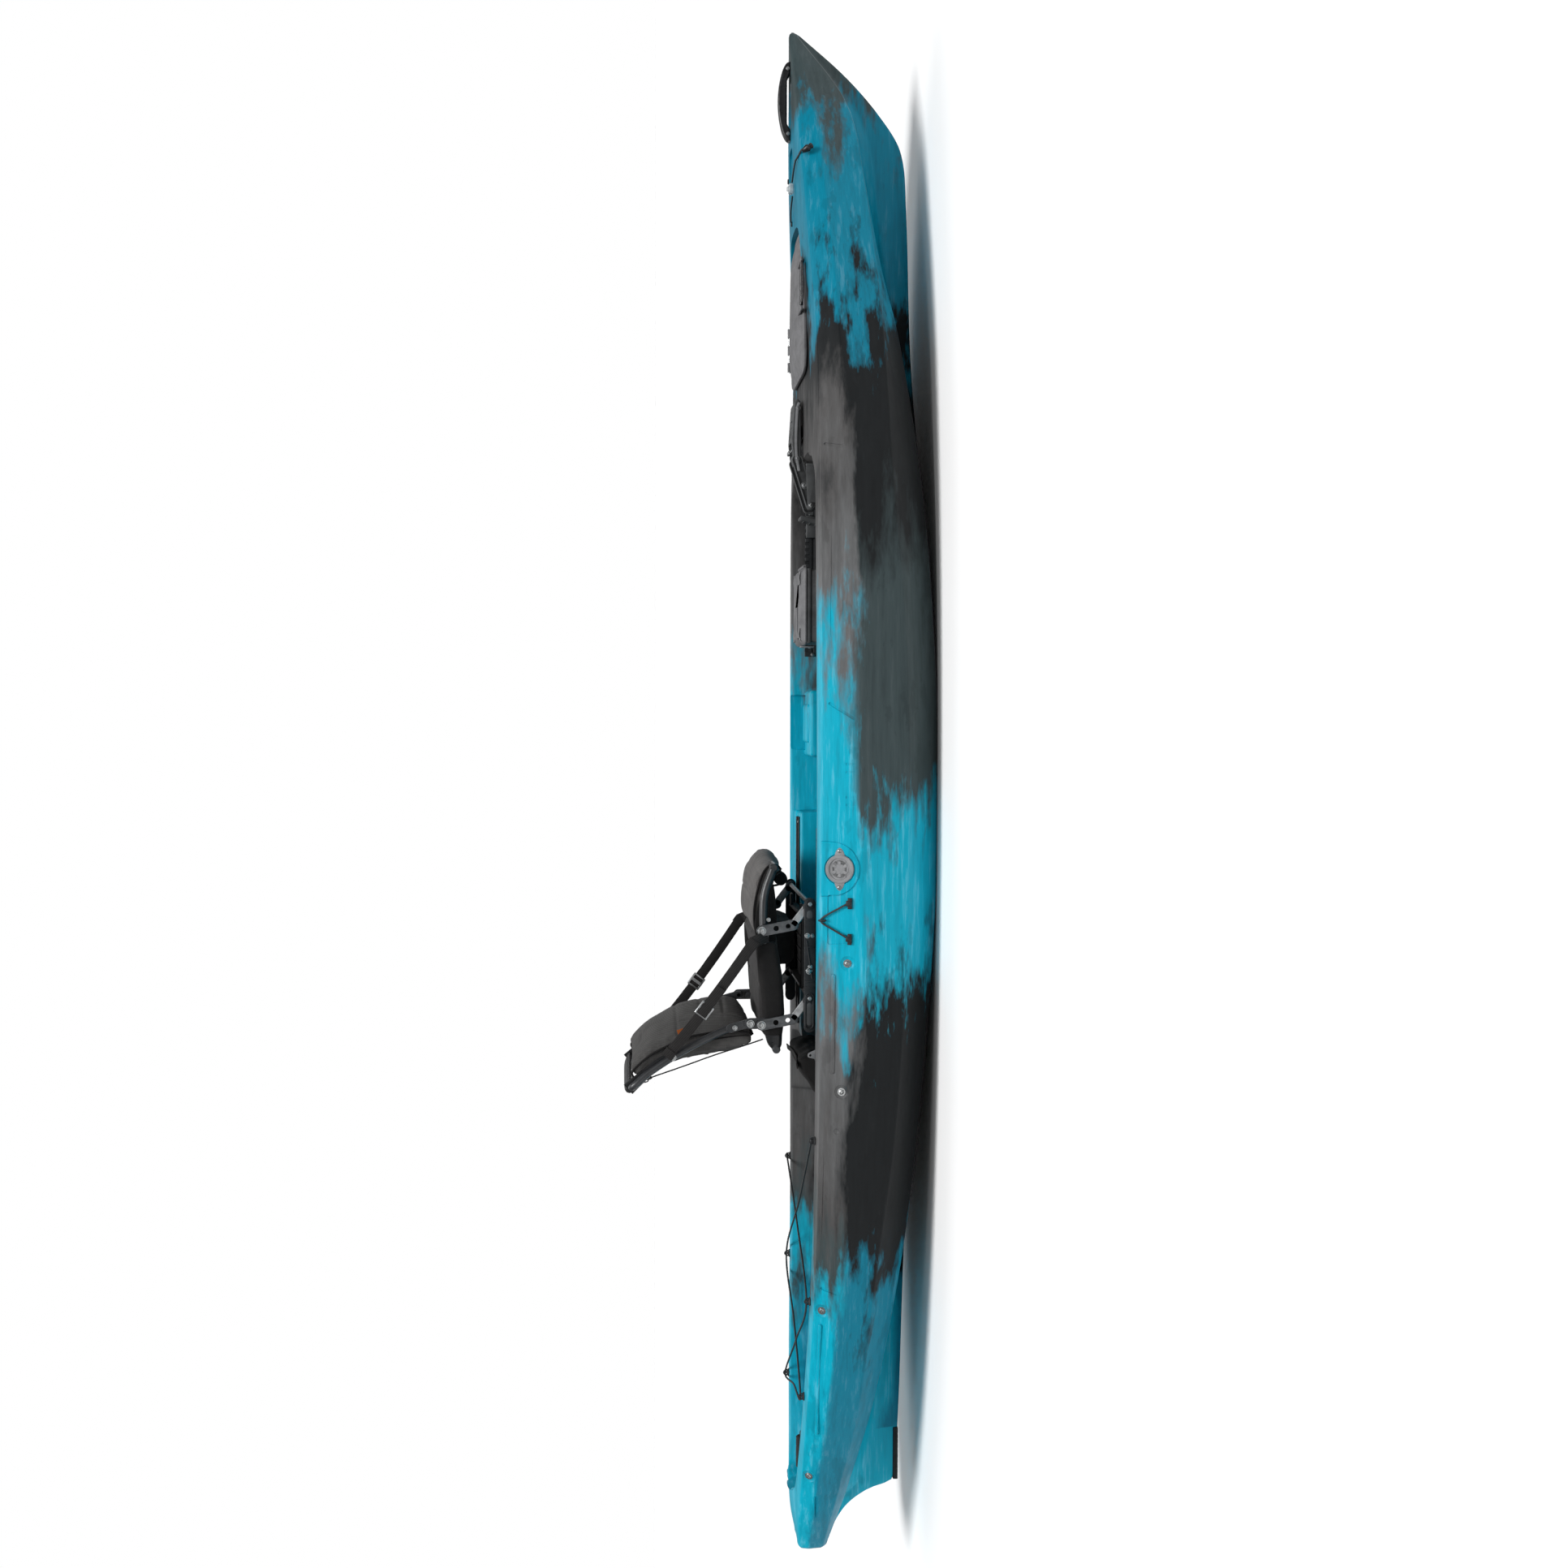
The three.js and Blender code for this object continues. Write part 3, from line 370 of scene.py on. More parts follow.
def marbled_polyethylene():
    """Rotomoulded polyethylene: powders of two colours that melted together in streaks, with
    the mould's fine grain, a soft shine and a little scuffing underneath. Below the widest
    line the colours are darker, partly the marbling and partly painted shade on the
    panels that face down."""
    material, shader, place = finish("marbled_polyethylene", Roughness=0.4, IOR=1.5)
    shader.inputs["Specular IOR Level"].default_value = 0.15
    # the powders drift along the boat, so the streaks are about 400 mm long and 80 mm high
    broad = speckle(material, stretched(material, place, (0.5, 1.3, 2.2)), 170, 5, 0.62)
    fine = speckle(material, stretched(material, place, (0.35, 1.2, 1.6)), 42, 5, 0.68)
    split = add_node(material, "ShaderNodeSeparateXYZ", {"Vector": place})
    x = split.outputs["X"]
    shifted = math_node(material, "ADD", x, spread(material, broad, 0.36, 0.64, -0.17, 0.17))
    shifted = math_node(material, "ADD", shifted, spread(material, fine, 0.38, 0.62, -0.045, 0.045))
    along = spread(material, shifted, STERN / 1000, BOW / 1000)
    at = lambda metres: (metres - STERN / 1000) / ((BOW - STERN) / 1000)
    teal, deep_teal, grey = "#02a0ba", "#017892", "#5e5f60"
    charcoal, ink, slate = "#4a4949", "#15181a", "#3a4648"
    upper = ramp(material, along, *((at(m), code) for m, code in (
        (-2.05, teal), (-1.40, teal), (-1.22, slate), (-1.0, charcoal), (-0.6, grey),
        (-0.36, teal), (0.3, teal), (0.52, grey), (0.86, charcoal), (1.1, ink), (1.24, ink),
        (1.34, deep_teal), (1.76, deep_teal), (1.92, slate))))
    # below the widest line a darker ramp, heavy in deep_teal and ink: partly real marbling, partly
    # painted shade on the down-facing panels
    lower_band_with_painted_shade = ramp(material, along, *((at(m), code) for m, code in (
        (-2.05, deep_teal), (-1.3, deep_teal), (-1.16, ink), (-0.56, ink), (-0.42, teal),
        (-0.06, teal), (0.12, slate), (0.5, slate), (0.8, ink), (1.24, ink),
        (1.36, deep_teal), (1.72, deep_teal), (1.9, slate))))
    low = add_node(material, "ShaderNodeAttribute", attribute_name="low").outputs["Fac"]
    ragged_band_and_shade_mask = math_node(material, "ADD", low, spread(material, broad, 0.4, 0.6, -0.25, 0.25))
    colour = mix(material, spread(material, ragged_band_and_shade_mask, 0.3, 0.7), upper, lower_band_with_painted_shade)
    # darker and paler threads of powder inside each colour, 200 mm long and 15 mm high
    threads = speckle(material, stretched(material, place, (0.16, 1.0, 2.2)), 30, 5, 0.66)
    smoke = add_node(material, "ShaderNodeHueSaturation", {
        "Saturation": 1.1, "Value": 0.55, "Color": colour}).outputs["Color"]
    milk = add_node(material, "ShaderNodeHueSaturation", {
        "Saturation": 0.8, "Value": 1.35, "Color": colour}).outputs["Color"]
    colour = mix(material, spread(material, threads, 0.50, 0.68, 0.0, 0.45), colour, smoke)
    colour = mix(material, spread(material, threads, 0.46, 0.30, 0.0, 0.6), colour, milk)
    blots = speckle(material, stretched(material, place, (0.6, 1.3, 1.4)), 90, 5, 0.6)
    colour = mix(material, spread(material, blots, 0.585, 0.62, 0.0, 0.35), colour, smoke)
    join(material, colour, shader, "Base Color")
    grain = speckle(material, place, 1.6, 2)
    wear = speckle(material, stretched(material, place, (0.3, 1, 1)), 34, 5, 0.7)
    join(material, spread(material, wear, 0.3, 0.75, 0.3, 0.5), shader, "Roughness")
    bumped(material, shader, grain, 0.2, 0.3)
    return material


def moulded_plastic(name, dark, light, roughness, grain_mm=1.2, depth=0.25):
    """Moulded plastic: a fine spark-eroded grain, a touch of dust and soft grey wear."""
    material, shader, place = finish(name, Roughness=roughness, IOR=1.49)
    shader.inputs["Specular IOR Level"].default_value = 0.35
    cloud = speckle(material, place, 38, 4, 0.6)
    join(material, ramp(material, cloud, (0.32, dark), (0.68, light)), shader, "Base Color")
    smear = speckle(material, place, 12, 3, 0.6)
    join(material, spread(material, smear, 0.3, 0.7, roughness - 0.06, roughness + 0.1), shader,
         "Roughness")
    bumped(material, shader, speckle(material, place, grain_mm, 2), depth, 0.3)
    return material


def woven(name, dark, light, thread_mm=1.5, sheen=0.04, across=(0, 0, 0)):
    """Woven polyester, drawn with threads about twice as coarse as real so that they show."""
    material, shader, place = finish(name, Roughness=0.86, IOR=1.46)
    shader.inputs["Specular IOR Level"].default_value = 0.2
    shader.inputs["Sheen Weight"].default_value = sheen
    shader.inputs["Sheen Roughness"].default_value = 0.5
    turned_place = stretched(material, place, turn=across)
    waves = [add_node(material, "ShaderNodeTexWave", {
        "Vector": turned_place, "Scale": 1000 / thread_mm / 20 * 3.1, "Distortion": 0.4,
        "Detail": 1.0}, wave_type="BANDS", bands_direction=axis).outputs["Fac"]
        for axis in ("Y", "Z", "X")]
    cross = math_node(material, "MAXIMUM", waves[0], waves[1])
    cross = math_node(material, "MULTIPLY", math_node(material, "ADD", cross, waves[2]), 0.5)
    cloud = speckle(material, place, 60, 4, 0.6)
    heather = speckle(material, place, 3.0, 3, 0.7)
    base = ramp(material, cloud, (0.3, dark), (0.7, light))
    base = mix(material, spread(material, heather, 0.35, 0.65, 0.0, 0.35), base, linear(dark))
    # painted shade: the hollows between the threads are darkened towards near black
    base = mix(material, spread(material, cross, 0.2, 0.9, 0.35, 0.0), base, linear("#0c0c0d"))
    join(material, base, shader, "Base Color")
    bumped(material, shader, cross, 0.35, 0.5)
    return material


def ribbed_webbing():
    """Polypropylene webbing: dense ribs across the strap and a dull shine."""
    material, shader, place = finish("ribbed_webbing", Roughness=0.7, IOR=1.49)
    shader.inputs["Specular IOR Level"].default_value = 0.25
    ribs = add_node(material, "ShaderNodeTexWave", {
        "Vector": place, "Scale": 95.0, "Distortion": 0.3},
        wave_type="BANDS", bands_direction="DIAGONAL").outputs["Fac"]
    cloud = speckle(material, place, 22, 3)
    base = ramp(material, cloud, (0.3, "#100f0f"), (0.7, "#1d1c1b"))
    # painted highlight: the raised ribs are lighter than the grooves between them
    join(material, mix(material, ribs, base, linear("#252323")), shader, "Base Color")
    bumped(material, shader, ribs, 0.4, 0.4)
    return material


def braided_cord():
    """Shock cord: a braided polyester sleeve, with painted highlights on its raised strands and
    painted shade in the hollows between them.
    """
    material, shader, place = finish("braided_cord", Roughness=0.6, IOR=1.5)
    braid = add_node(material, "ShaderNodeTexVoronoi", {"Vector": place, "Scale": 620.0}
                     ).outputs["Distance"]
    # painted shade in the braid's hollows, painted highlights on its raised strands
    join(material, ramp(material, braid, (0.1, "#0c0d0e"), (0.7, "#2d3032")), shader,
         "Base Color")
    bumped(material, shader, braid, 0.5, 0.3)
    return material


def metal(name, dark, light, roughness, stretch=(1, 1, 1), brushed=0.15):
    """Metal with fine brushing and cloudy handling marks."""
    material, shader, place = finish(name, Metallic=1.0, Roughness=roughness)
    cloud = speckle(material, place, 18, 4, 0.6)
    join(material, ramp(material, cloud, (0.3, dark), (0.7, light)), shader, "Base Color")
    lines = speckle(material, stretched(material, place, stretch), 1.2, 2)
    join(material, spread(material, lines, 0.3, 0.7, roughness - 0.07, roughness + 0.12),
         shader, "Roughness")
    bumped(material, shader, lines, brushed, 0.1)
    return material


def powder_coat():
    """Black powder-coated tube: orange-peel surface, with a satin shine."""
    material, shader, place = finish("powder_coated_tube", Roughness=0.36, IOR=1.52)
    cloud = speckle(material, place, 30, 3)
    join(material, ramp(material, cloud, (0.3, "#1a1b1d"), (0.7, "#2b2d30")), shader,
         "Base Color")
    bumped(material, shader, speckle(material, place, 2.2, 2), 0.25, 0.3)
    return material


def rubber_foam(name, dark, light):
    """Closed-cell foam or rubber: matt, with fine pores."""
    material, shader, place = finish(name, Roughness=0.82, IOR=1.5)
    pores = add_node(material, "ShaderNodeTexVoronoi", {"Vector": place, "Scale": 420.0}
                     ).outputs["Distance"]
    join(material, ramp(material, speckle(material, place, 16, 4), (0.3, dark), (0.7, light)),
         shader, "Base Color")
    bumped(material, shader, pores, 0.35, 0.4)
    return material


def clear_polycarbonate():
    """A small clear moulding, slightly smoked."""
    material, shader, place = finish("clear_polycarbonate", Roughness=0.12, IOR=1.58,
                                     Alpha=0.55)
    join(material, ramp(material, speckle(material, place, 9, 2), (0.3, "#9aa3a6"),
                        (0.7, "#dfe5e7")), shader, "Base Color")
    return material


HULL = marbled_polyethylene()
BLACK_PLASTIC = moulded_plastic("black_nylon", "#17181a", "#292b2d", 0.48)
SATIN_BLACK = moulded_plastic("satin_black_nylon", "#101113", "#1d1f21", 0.3, 2.0, 0.12)
DARK_GREY = moulded_plastic("dark_grey_nylon", "#3a3b3c", "#4d4f50", 0.5)
LID_GREY = moulded_plastic("grey_polyethylene_lid", "#58585a", "#6f6f71", 0.55, 1.6, 0.4)
PALE_GREY = moulded_plastic("pale_grey_polyethylene", "#77787a", "#8b8c8e", 0.5, 1.6, 0.3)
FABRIC = woven("charcoal_polyester_weave", "#302f2f", "#434242")
PANEL_FABRIC = woven("grey_polyester_weave", "#424140", "#545352", 1.6)
PALE_FABRIC = woven("light_grey_polyester_weave", "#595756", "#6e6c6b", 1.6)
BLACK_FABRIC = woven("black_polyester_weave", "#131212", "#201f1f", 1.3)
WEBBING = ribbed_webbing()
CORD = braided_cord()
ALLOY = metal("brushed_aluminium", "#8f9192", "#b9bbbc", 0.32, (1, 1, 9))
STEEL = metal("polished_stainless_steel", "#8f9192", "#b7b9b9", 0.26, (1, 1, 1), 0.05)
LEG_ALLOY = metal("anodised_aluminium_leg", "#4c4e50", "#6a6c6e", 0.36, (1, 1, 7))
TUBE = powder_coat()
FOAM = rubber_foam("black_closed_cell_foam", "#141414", "#222222")
RUBBER = rubber_foam("black_rubber", "#101010", "#1c1c1c")
CLEAR = clear_polycarbonate()
TAG = woven("orange_brown_tag", "#7b3f18", "#9c5423", 1.0)


# ---- the hull's lines ---------------------------------------------------------------------
half_beam = smooth_line([(STERN, 62), (-1900, 150), (-1500, 300), (-1000, 392), (-200, 432),
                         (600, 412), (1000, 367), (1300, 305), (1700, 175), (1950, 58),
                         (BOW, 5)])
sheer_z = smooth_line([(STERN, 322), (-1950, 332), (-1200, 314), (-800, 311), (0, 312),
                       (800, 316), (1200, 317), (1400, 328), (1750, 348), (BOW, 359)])
belt_z = smooth_line([(STERN, 300), (-1600, 277), (-1200, 252), (-800, 240), (-400, 209),
                      (0, 213), (600, 222), (1000, 251), (1400, 274), (1850, 313), (BOW, 357)])
band_z = smooth_line([(STERN, 262), (-1950, 246), (-1600, 190), (-1200, 157), (-800, 114),
                      (-200, 89), (400, 96), (800, 127), (1200, 148), (1600, 181), (1850, 223),
                      (BOW, 350)])
chine_z = smooth_line([(STERN, 250), (-1800, 185), (-1600, 140), (-1200, 78), (-800, 36),
                       (-400, 9), (-200, 0), (200, 0), (400, 6), (800, 37), (1200, 95),
                       (1400, 139), (1650, 178), (1850, 216), (BOW, 348)])
keel_z = smooth_line([(STERN, 247), (-2044, 243), (-1993, 217), (-1947, 178), (-1913, 125),
                      (-1890, 63), (-1740, 47), (-1200, 32), (-500, 0), (700, 0), (1200, 31),
                      (1600, 44), (1750, 60), (1850, 123), (1950, 216), (BOW, 345)])
keel_half = smooth_line([(STERN, 34), (-1950, 14), (-1200, 22), (-400, 60), (600, 60),
                         (1200, 20), (1700, 9), (BOW, 2)])
crown = smooth_line([(STERN, 2), (-1890, 16), (-1500, 6), (900, 8), (1150, 12), (1320, 15),
                     (1750, 10), (BOW, 1)])


def sheer_half(x):
    return half_beam(x) - 30 * min(1, half_beam(x) / 300)


def rim(x):
    """Half the width between the gunwales."""
    return sheer_half(x) - 52


def corners(x):
    """Half the section at x, from the keel round to the middle of the deck, as (y, z)."""
    keel, chine = max(0, keel_z(x)), max(0, chine_z(x))
    drop, chine_half = chine - keel, 0.7 * half_beam(x)
    inner = keel_half(x) + min(6, 0.3 * (chine_half - keel_half(x)))
    hollow = 14 * max(0, 1 - (x / 1200) ** 2)
    half, top, rise = sheer_half(x), sheer_z(x) + 5, crown(x) - 5
    edge = max(half - 24, half * 0.7)
    return [(0, keel), (keel_half(x), keel), (inner, keel + 0.65 * drop + 0.8 * hollow),
            (inner + 0.35 * (chine_half - inner), keel + 0.94 * drop + hollow),
            (chine_half, chine), (half_beam(x) * 0.93, band_z(x)), (half_beam(x), belt_z(x)),
            (half, sheer_z(x)), (edge, top), (edge * 0.5, top + 0.75 * rise), (0, top + rise)]


def deck_z(x, y):
    deck = corners(x)[-4:][::-1]
    for a, b in zip(deck, deck[1:]):
        if abs(y) <= b[0]:
            break
    return a[1] + (b[1] - a[1]) * (abs(y) - a[0]) / max(b[0] - a[0], 1e-6)


def side_y(x, z):
    """Half the width of the upper side panel, between the widest line and the gunwale."""
    lift = (z - belt_z(x)) / (sheer_z(x) - belt_z(x))
    return half_beam(x) + (sheer_half(x) - half_beam(x)) * lift


def both_sides(x, half):
    """A ring at x from half a section."""
    return [(x, y, z) for y, z in half] + [(x, -y, z) for y, z in reversed(half) if y > 1e-3]


def stations(*spans):
    places = []
    for low, high, step in spans:
        count = max(1, round((high - low) / step))
        places += [low + (high - low) * k / count for k in range(count)]
    return places + [spans[-1][1]]


def hull_ring(x):
    half = rounded(corners(x), [0, 5, 8, 20, 6, 4, 3.5, 5, 9, 40, 0], 3,
                   [1, 1, 2, 3, 3, 3, 3, 1, 3, 4, 1])
    away = min(x - STERN, BOW - x)
    if away < 12:                       # the ends are rounded over, as rotomoulding leaves them
        inset = 12 * (1 - math.sqrt(max(0, 1 - (1 - away / 12) ** 2)))
        low, high = half[0].y, half[-1].y
        wide = max(p.x for p in half)
        middle, tall = (low + high) / 2, (high - low) / 2
        half = [Vector((p.x * max(0.3, 1 - inset / max(wide, 14)),
                        middle + (p.y - middle) * (1 - min(0.6, inset / tall)))) for p in half]
    return both_sides(x, [(p.x, p.y) for p in half])


def trench(marks, lip=9, base=16, level=None, top=60):
    """Cuts a well. marks are (x, floor, half width at the floor, half width at the rim). The
    walls roll out over the deck, or over a level, in a soft lip."""
    floor = rounded([(m[0], m[1]) for m in marks], [m[4] if len(m) > 4 else 14 for m in marks], 5)
    narrow = smooth_line([(m[0], m[2]) for m in marks])
    wide = smooth_line([(m[0], m[3]) for m in marks])
    places = [floor[0]]
    for point in floor[1:]:
        gap = point.x - places[-1].x
        parts = max(1, round(gap / 24))
        start = places[-1]
        places += [start.lerp(point, k / parts) for k in range(1, parts + 1)]
    rings = []
    for x, z in ((p.x, p.y) for p in places):
        outer = wide(x)
        brim = (deck_z(x, outer + lip) if level is None else level) + 0.5
        depth = max(brim - z, 0.5)
        turn, foot = min(lip, 0.8 * depth), min(base, 0.45 * depth)
        half = rounded([(0, z), (min(narrow(x), outer - 0.1), z), (outer, brim),
                        (outer + turn + 3, brim + 0.8), (outer + turn + 3, brim + top),
                        (0, brim + top)], [0, foot, turn, 0.5, 0.5, 0], 5, [4, 2, 1, 1, 1, 1])
        rings.append(both_sides(x, [(p.x, p.y) for p in half]))
    return loft(rings)


def hatch_outline(grow, x_grow=None):
    middle, x_grow = 1324, grow if x_grow is None else x_grow
    along, across = 1 + 2 * x_grow / 392, 1 + 2 * grow / 280
    half = [(1128, 123), (1138, 162), (1172, 174), (1476, 110), (1511, 91.5), (1520, 62)]
    half = [(middle + (x - middle) * along, y * across) for x, y in half]
    return rounded([(x, -y) for x, y in half] + half[::-1], 16, 4, closed=True)


def on_side(x, z, out, shape, side=-1):
    """Puts a shape that was made flat at the origin, facing -Y, onto the hull's side."""
    reach = side_y(x, z) + out
    lean = math.atan2(half_beam(x) - sheer_half(x), sheer_z(x) - belt_z(x))
    along = math.atan2(side_y(x + 40, z) - side_y(x - 40, z), 80)
    shape.transform(Matrix.Translation((x, -reach, z)) @ Matrix.Rotation(-along, 4, "Z")
                    @ Matrix.Rotation(-lean, 4, "X"))
    return mirrored(shape) if side > 0 else shape


def dish(radius, depth):
    """A shallow round recess."""
    return turned([(0, -depth), (radius * 0.55, -depth), (radius * 0.9, -depth * 0.35),
                   (radius, 0.6), (radius, 8), (0, 8)], axis=(0, -1, 0), sides=28)


def raised(outline, height, edge):
    """A raised pad on a side panel, with soft shoulders."""
    return prism(outline, -height, 12, edge=edge, segments=3)


def capsule(length, width, turn=0.0):
    ends = [(length / 2 - width / 2, 1), (-length / 2 + width / 2, -1)]
    line = [(x + sign * width / 2 * math.cos(t), sign * width / 2 * math.sin(t))
            for x, sign in ends for t in (math.pi * (k / 6 - 0.5) for k in range(7))]
    c, s = math.cos(turn), math.sin(turn)
    return [(x * c - z * s, x * s + z * c) for x, z in line]


def build_hull():
    body = loft([hull_ring(x) for x in stations(
        (STERN, STERN + 14, 2), (STERN + 14, -1700, 9), (-1700, 1720, 20), (1720, BOW - 14, 11),
        (BOW - 14, BOW, 2))])
    bowl = sweep([(-1802 + 92 * math.cos(t), 96 * math.sin(t), deck_z(-1802, 60) + 3
                   + 3 * math.cos(t)) for t in (math.tau * k / 72 for k in range(72))],
                 circle(12, 14), across=(0, 0, 1), closed=True)
    body = carve(body, ("UNION", bowl))
    cockpit = trench([
        (-1900, deck_z(-1900, 0) + 2, 20, 30, 2), (-1888, 316, 34, 46, 10),
        (-1868, 268, 58, 84, 20), (-1770, 236, 100, rim(-1770), 40),
        (-1600, 205, 170, rim(-1600), 40), (-1200, 205, 250, rim(-1200), 0),
        (-862, 205, 280, rim(-862), 12), (-854, 252, 274, rim(-854) - 3, 12),
        (-696, 252, 262, rim(-696) - 6, 8), (-688, 300, 290, rim(-688) - 7, 8),
        (-48, 300, rim(-48) - 12, rim(-48) - 5, 9), (-38, 82, rim(-38) - 38, rim(-38) - 4, 18),
        (0, 78, rim(0) - 35, rim(0), 30), (400, 78, rim(400) - 35, rim(400), 30),
        (700, 86, rim(700) - 35, rim(700), 40), (840, 133, rim(840) - 25, rim(840), 40),
        (897, 228, 160, 236, 20), (905, 300, 140, 192, 10),
        (920, deck_z(920, 150) + 2, 120, 170, 2)])
    seat_well = trench([
        (-690, 303, 120, 150, 4), (-684, 178, 140, 152, 20), (-640, 112, 185, 205, 30),
        (-100, 112, 190, 205, 20), (-36, 92, 196, 214, 14), (-20, 88, 196, 216, 4)],
        lip=8, base=18, level=300, top=34)
    steps = []
    for side in (1, -1):
        for x0, x1, top in ((112, 300, 280), (150, 262, 287)):
            inboard = 165 if top == 280 else 196
            step = block(x0, x1, inboard, 352, 60, top, 11, 4)
            steps.append(("UNION", step if side > 0 else mirrored(step)))
    bin_rings = [both_sides(x, [(0, z), (w, z), (w, 296), (0, 296)]) for x, w, z in (
        (1010, 150, 190), (1060, 260, 150), (1300, 226, 165), (1550, 150, 185), (1640, 90, 210))]
    cuts = [("DIFFERENCE", cockpit), ("DIFFERENCE", seat_well), *steps]
    cuts += [("DIFFERENCE", block(128, 288, 300, 350, 268, 330, 8, 3)),
             ("DIFFERENCE", mirrored(block(128, 288, 300, 350, 268, 330, 8, 3)))]
    cuts += [
        ("DIFFERENCE", loft(bin_rings)),
        ("DIFFERENCE", prism(hatch_outline(5), 326, 420, "z")),
        ("DIFFERENCE", prism(hatch_outline(-26), 280, 340, "z")),
        ("UNION", carve(prism(hatch_outline(-14), 300, 329, "z", 2, 2),
                        ("DIFFERENCE", prism(hatch_outline(-26), 270, 340, "z")))),
        # finger recess under the bow handle, and the grab bowl's pad at the stern
        ("DIFFERENCE", block(1806, 1938, -31, 31, 351, 420, 8, 4)),
        ("DIFFERENCE", block(-1925, STERN - 20, -9, 9, 293, 311, 8, 4)),
        ("DIFFERENCE", block(-1925, -1742, -60, 60, -40, keel_z(-1815) + 13, 0)),
        # the oval well for a cable port, ahead of the cockpit
        ("DIFFERENCE", prism([(955 + x, y) for x, y in capsule(118, 74)], 318, 420, "z", 4, 3)),
        # a long shallow panel pressed into the bow deck
        ("DIFFERENCE", prism(rounded([(1568, -70), (1745, -38), (1745, 38), (1568, 70)], 18, 4,
                                     closed=True), deck_z(1650, 0) - 5, 420, "z", 3, 3)),
    ]
    for side in (-1, 1):
        for x, z in BOLTS:
            cuts.append(("DIFFERENCE", on_side(x, z, 0.5, dish(20, 5), side)))
        pad = [(-70, 50), (-66, 4), (-50, -26), (-24, -44), (0, -49), (24, -44), (50, -26),
               (66, 4), (70, 50)]
        cuts.append(("UNION", on_side(-154, 264, 0, raised(curve(pad, 5), 4, 3.4), side)))
        cuts.append(("DIFFERENCE", on_side(-154, 266, 1.8, prism(
            [(39 * math.cos(t), 39 * math.sin(t)) for t in (math.tau * k / 40 for k in range(40))],
            -9, 0.5), side)))
        # the keeper's recess, which steps into the long panel
        keeper = rounded([(-62, 34), (-58, -30), (64, -30), (64, 34)], 7, 4, closed=True)
        cuts.append(("DIFFERENCE", on_side(-283, 262, -2.2, prism(keeper, -14, 0), side)))
        name_panel = rounded([(-167, -15), (167, -17), (171, 13), (-165, 17)], 8, 4, closed=True)
        cuts.append(("DIFFERENCE", on_side(589, 274, -1.4, prism(name_panel, -14, 0), side)))
        rear_panel = rounded([(-190, -27), (172, -30), (188, 20), (-196, 24)], 10, 4, closed=True)
        cuts.append(("DIFFERENCE", on_side(-1010, 280, -1.6, prism(rear_panel, -14, 0), side)))
        for x, z, length, width in ((-546, 280, 254, 11), (-1500, 300, 330, 9)):
            cuts.append(("UNION", on_side(x, z, 0, raised(capsule(length, width), 3.2, 3), side)))
        cuts.append(("DIFFERENCE", on_side(-821, 268, 0.4, dish(9, 3), side)))
        for x in (89, 6):               # pressed brackets by the middle of the boat
            for dx, w in ((0, 6), (20, 6)):
                cuts.append(("DIFFERENCE", on_side(x + dx, 240, 0.3, prism(
                    rounded([(-w / 2, -13), (w / 2, -13), (w / 2, 13), (-w / 2, 13)], 2, 3,
                            closed=True), -8, 1.6), side)))
        for x, tall in ((907, 52), (1246 - 2492, 46)):
            cuts.append(("DIFFERENCE", on_side(x, 280, -0.4, prism(
                capsule(tall, 7, math.radians(78)), -8, 1.8), side)))
        cuts.append(("DIFFERENCE", on_side(241, 262, -0.4, prism(
            capsule(78, 7, math.radians(58)), -8, 1.8), side)))
        cuts.append(("DIFFERENCE", on_side(-1900, 286, 0.4, prism(
            capsule(84, 15, math.radians(3)), -8, 4), side)))
    return carve(body, *cuts)


BOLTS = ((-392, 245), (-719, 257), (-1304, 296), (-1800, 312))


def paint_band_and_shade_mask(mesh):
    """Marks how far each point lies below the widest line, for the marbling and for the painted
    shade on the lower panels.
    """
    values = []
    for vert in mesh.vertices:
        x, y, z = (1000 * c for c in vert.co)
        outside = 1 if abs(y) > 0.62 * half_beam(x) or z < 60 else 0
        values.append(max(0, min(1, 0.5 + (belt_z(x) - z) / 60)) * outside)
    mesh.attributes.new("low", "FLOAT", "POINT").data.foreach_set("value", values)


hull = show("hull_shell", build_hull(), HULL, "hull", ["hull"], crease=38)
paint_band_and_shade_mask(hull.data)


# ---- hull fittings ---------------------------------------------------------------------
def domed_bolt(centre, axis, radius, tall=None, washer=1.35):
    """A washer under a domed head with a round-cornered socket."""
    tall = tall or radius * 0.62
    wide = radius * washer
    return turned([(0, -1), (wide, -1), (wide, 0.5), (wide - 0.4, 0.9), (radius, 0.9),
                   (radius, 0.9 + tall * 0.35), (radius * 0.82, 0.9 + tall * 0.8),
                   (radius * 0.5, 0.9 + tall), (radius * 0.38, 0.9 + tall),
                   (radius * 0.34, 0.9 + tall * 0.5), (0, 0.9 + tall * 0.45)],
                  centre, axis, 20)


def fit_bolts():
    for name, side in SIDES:
        shapes = []
        for x, z in BOLTS:
            shapes.append(on_side(x, z, -4.4, domed_bolt((0, 0, 0), (0, -1, 0), 6.6, 3.4, 1.6),
                                  side))
        show(f"side_bolts_{name}", together(*shapes), STEEL, "hull")


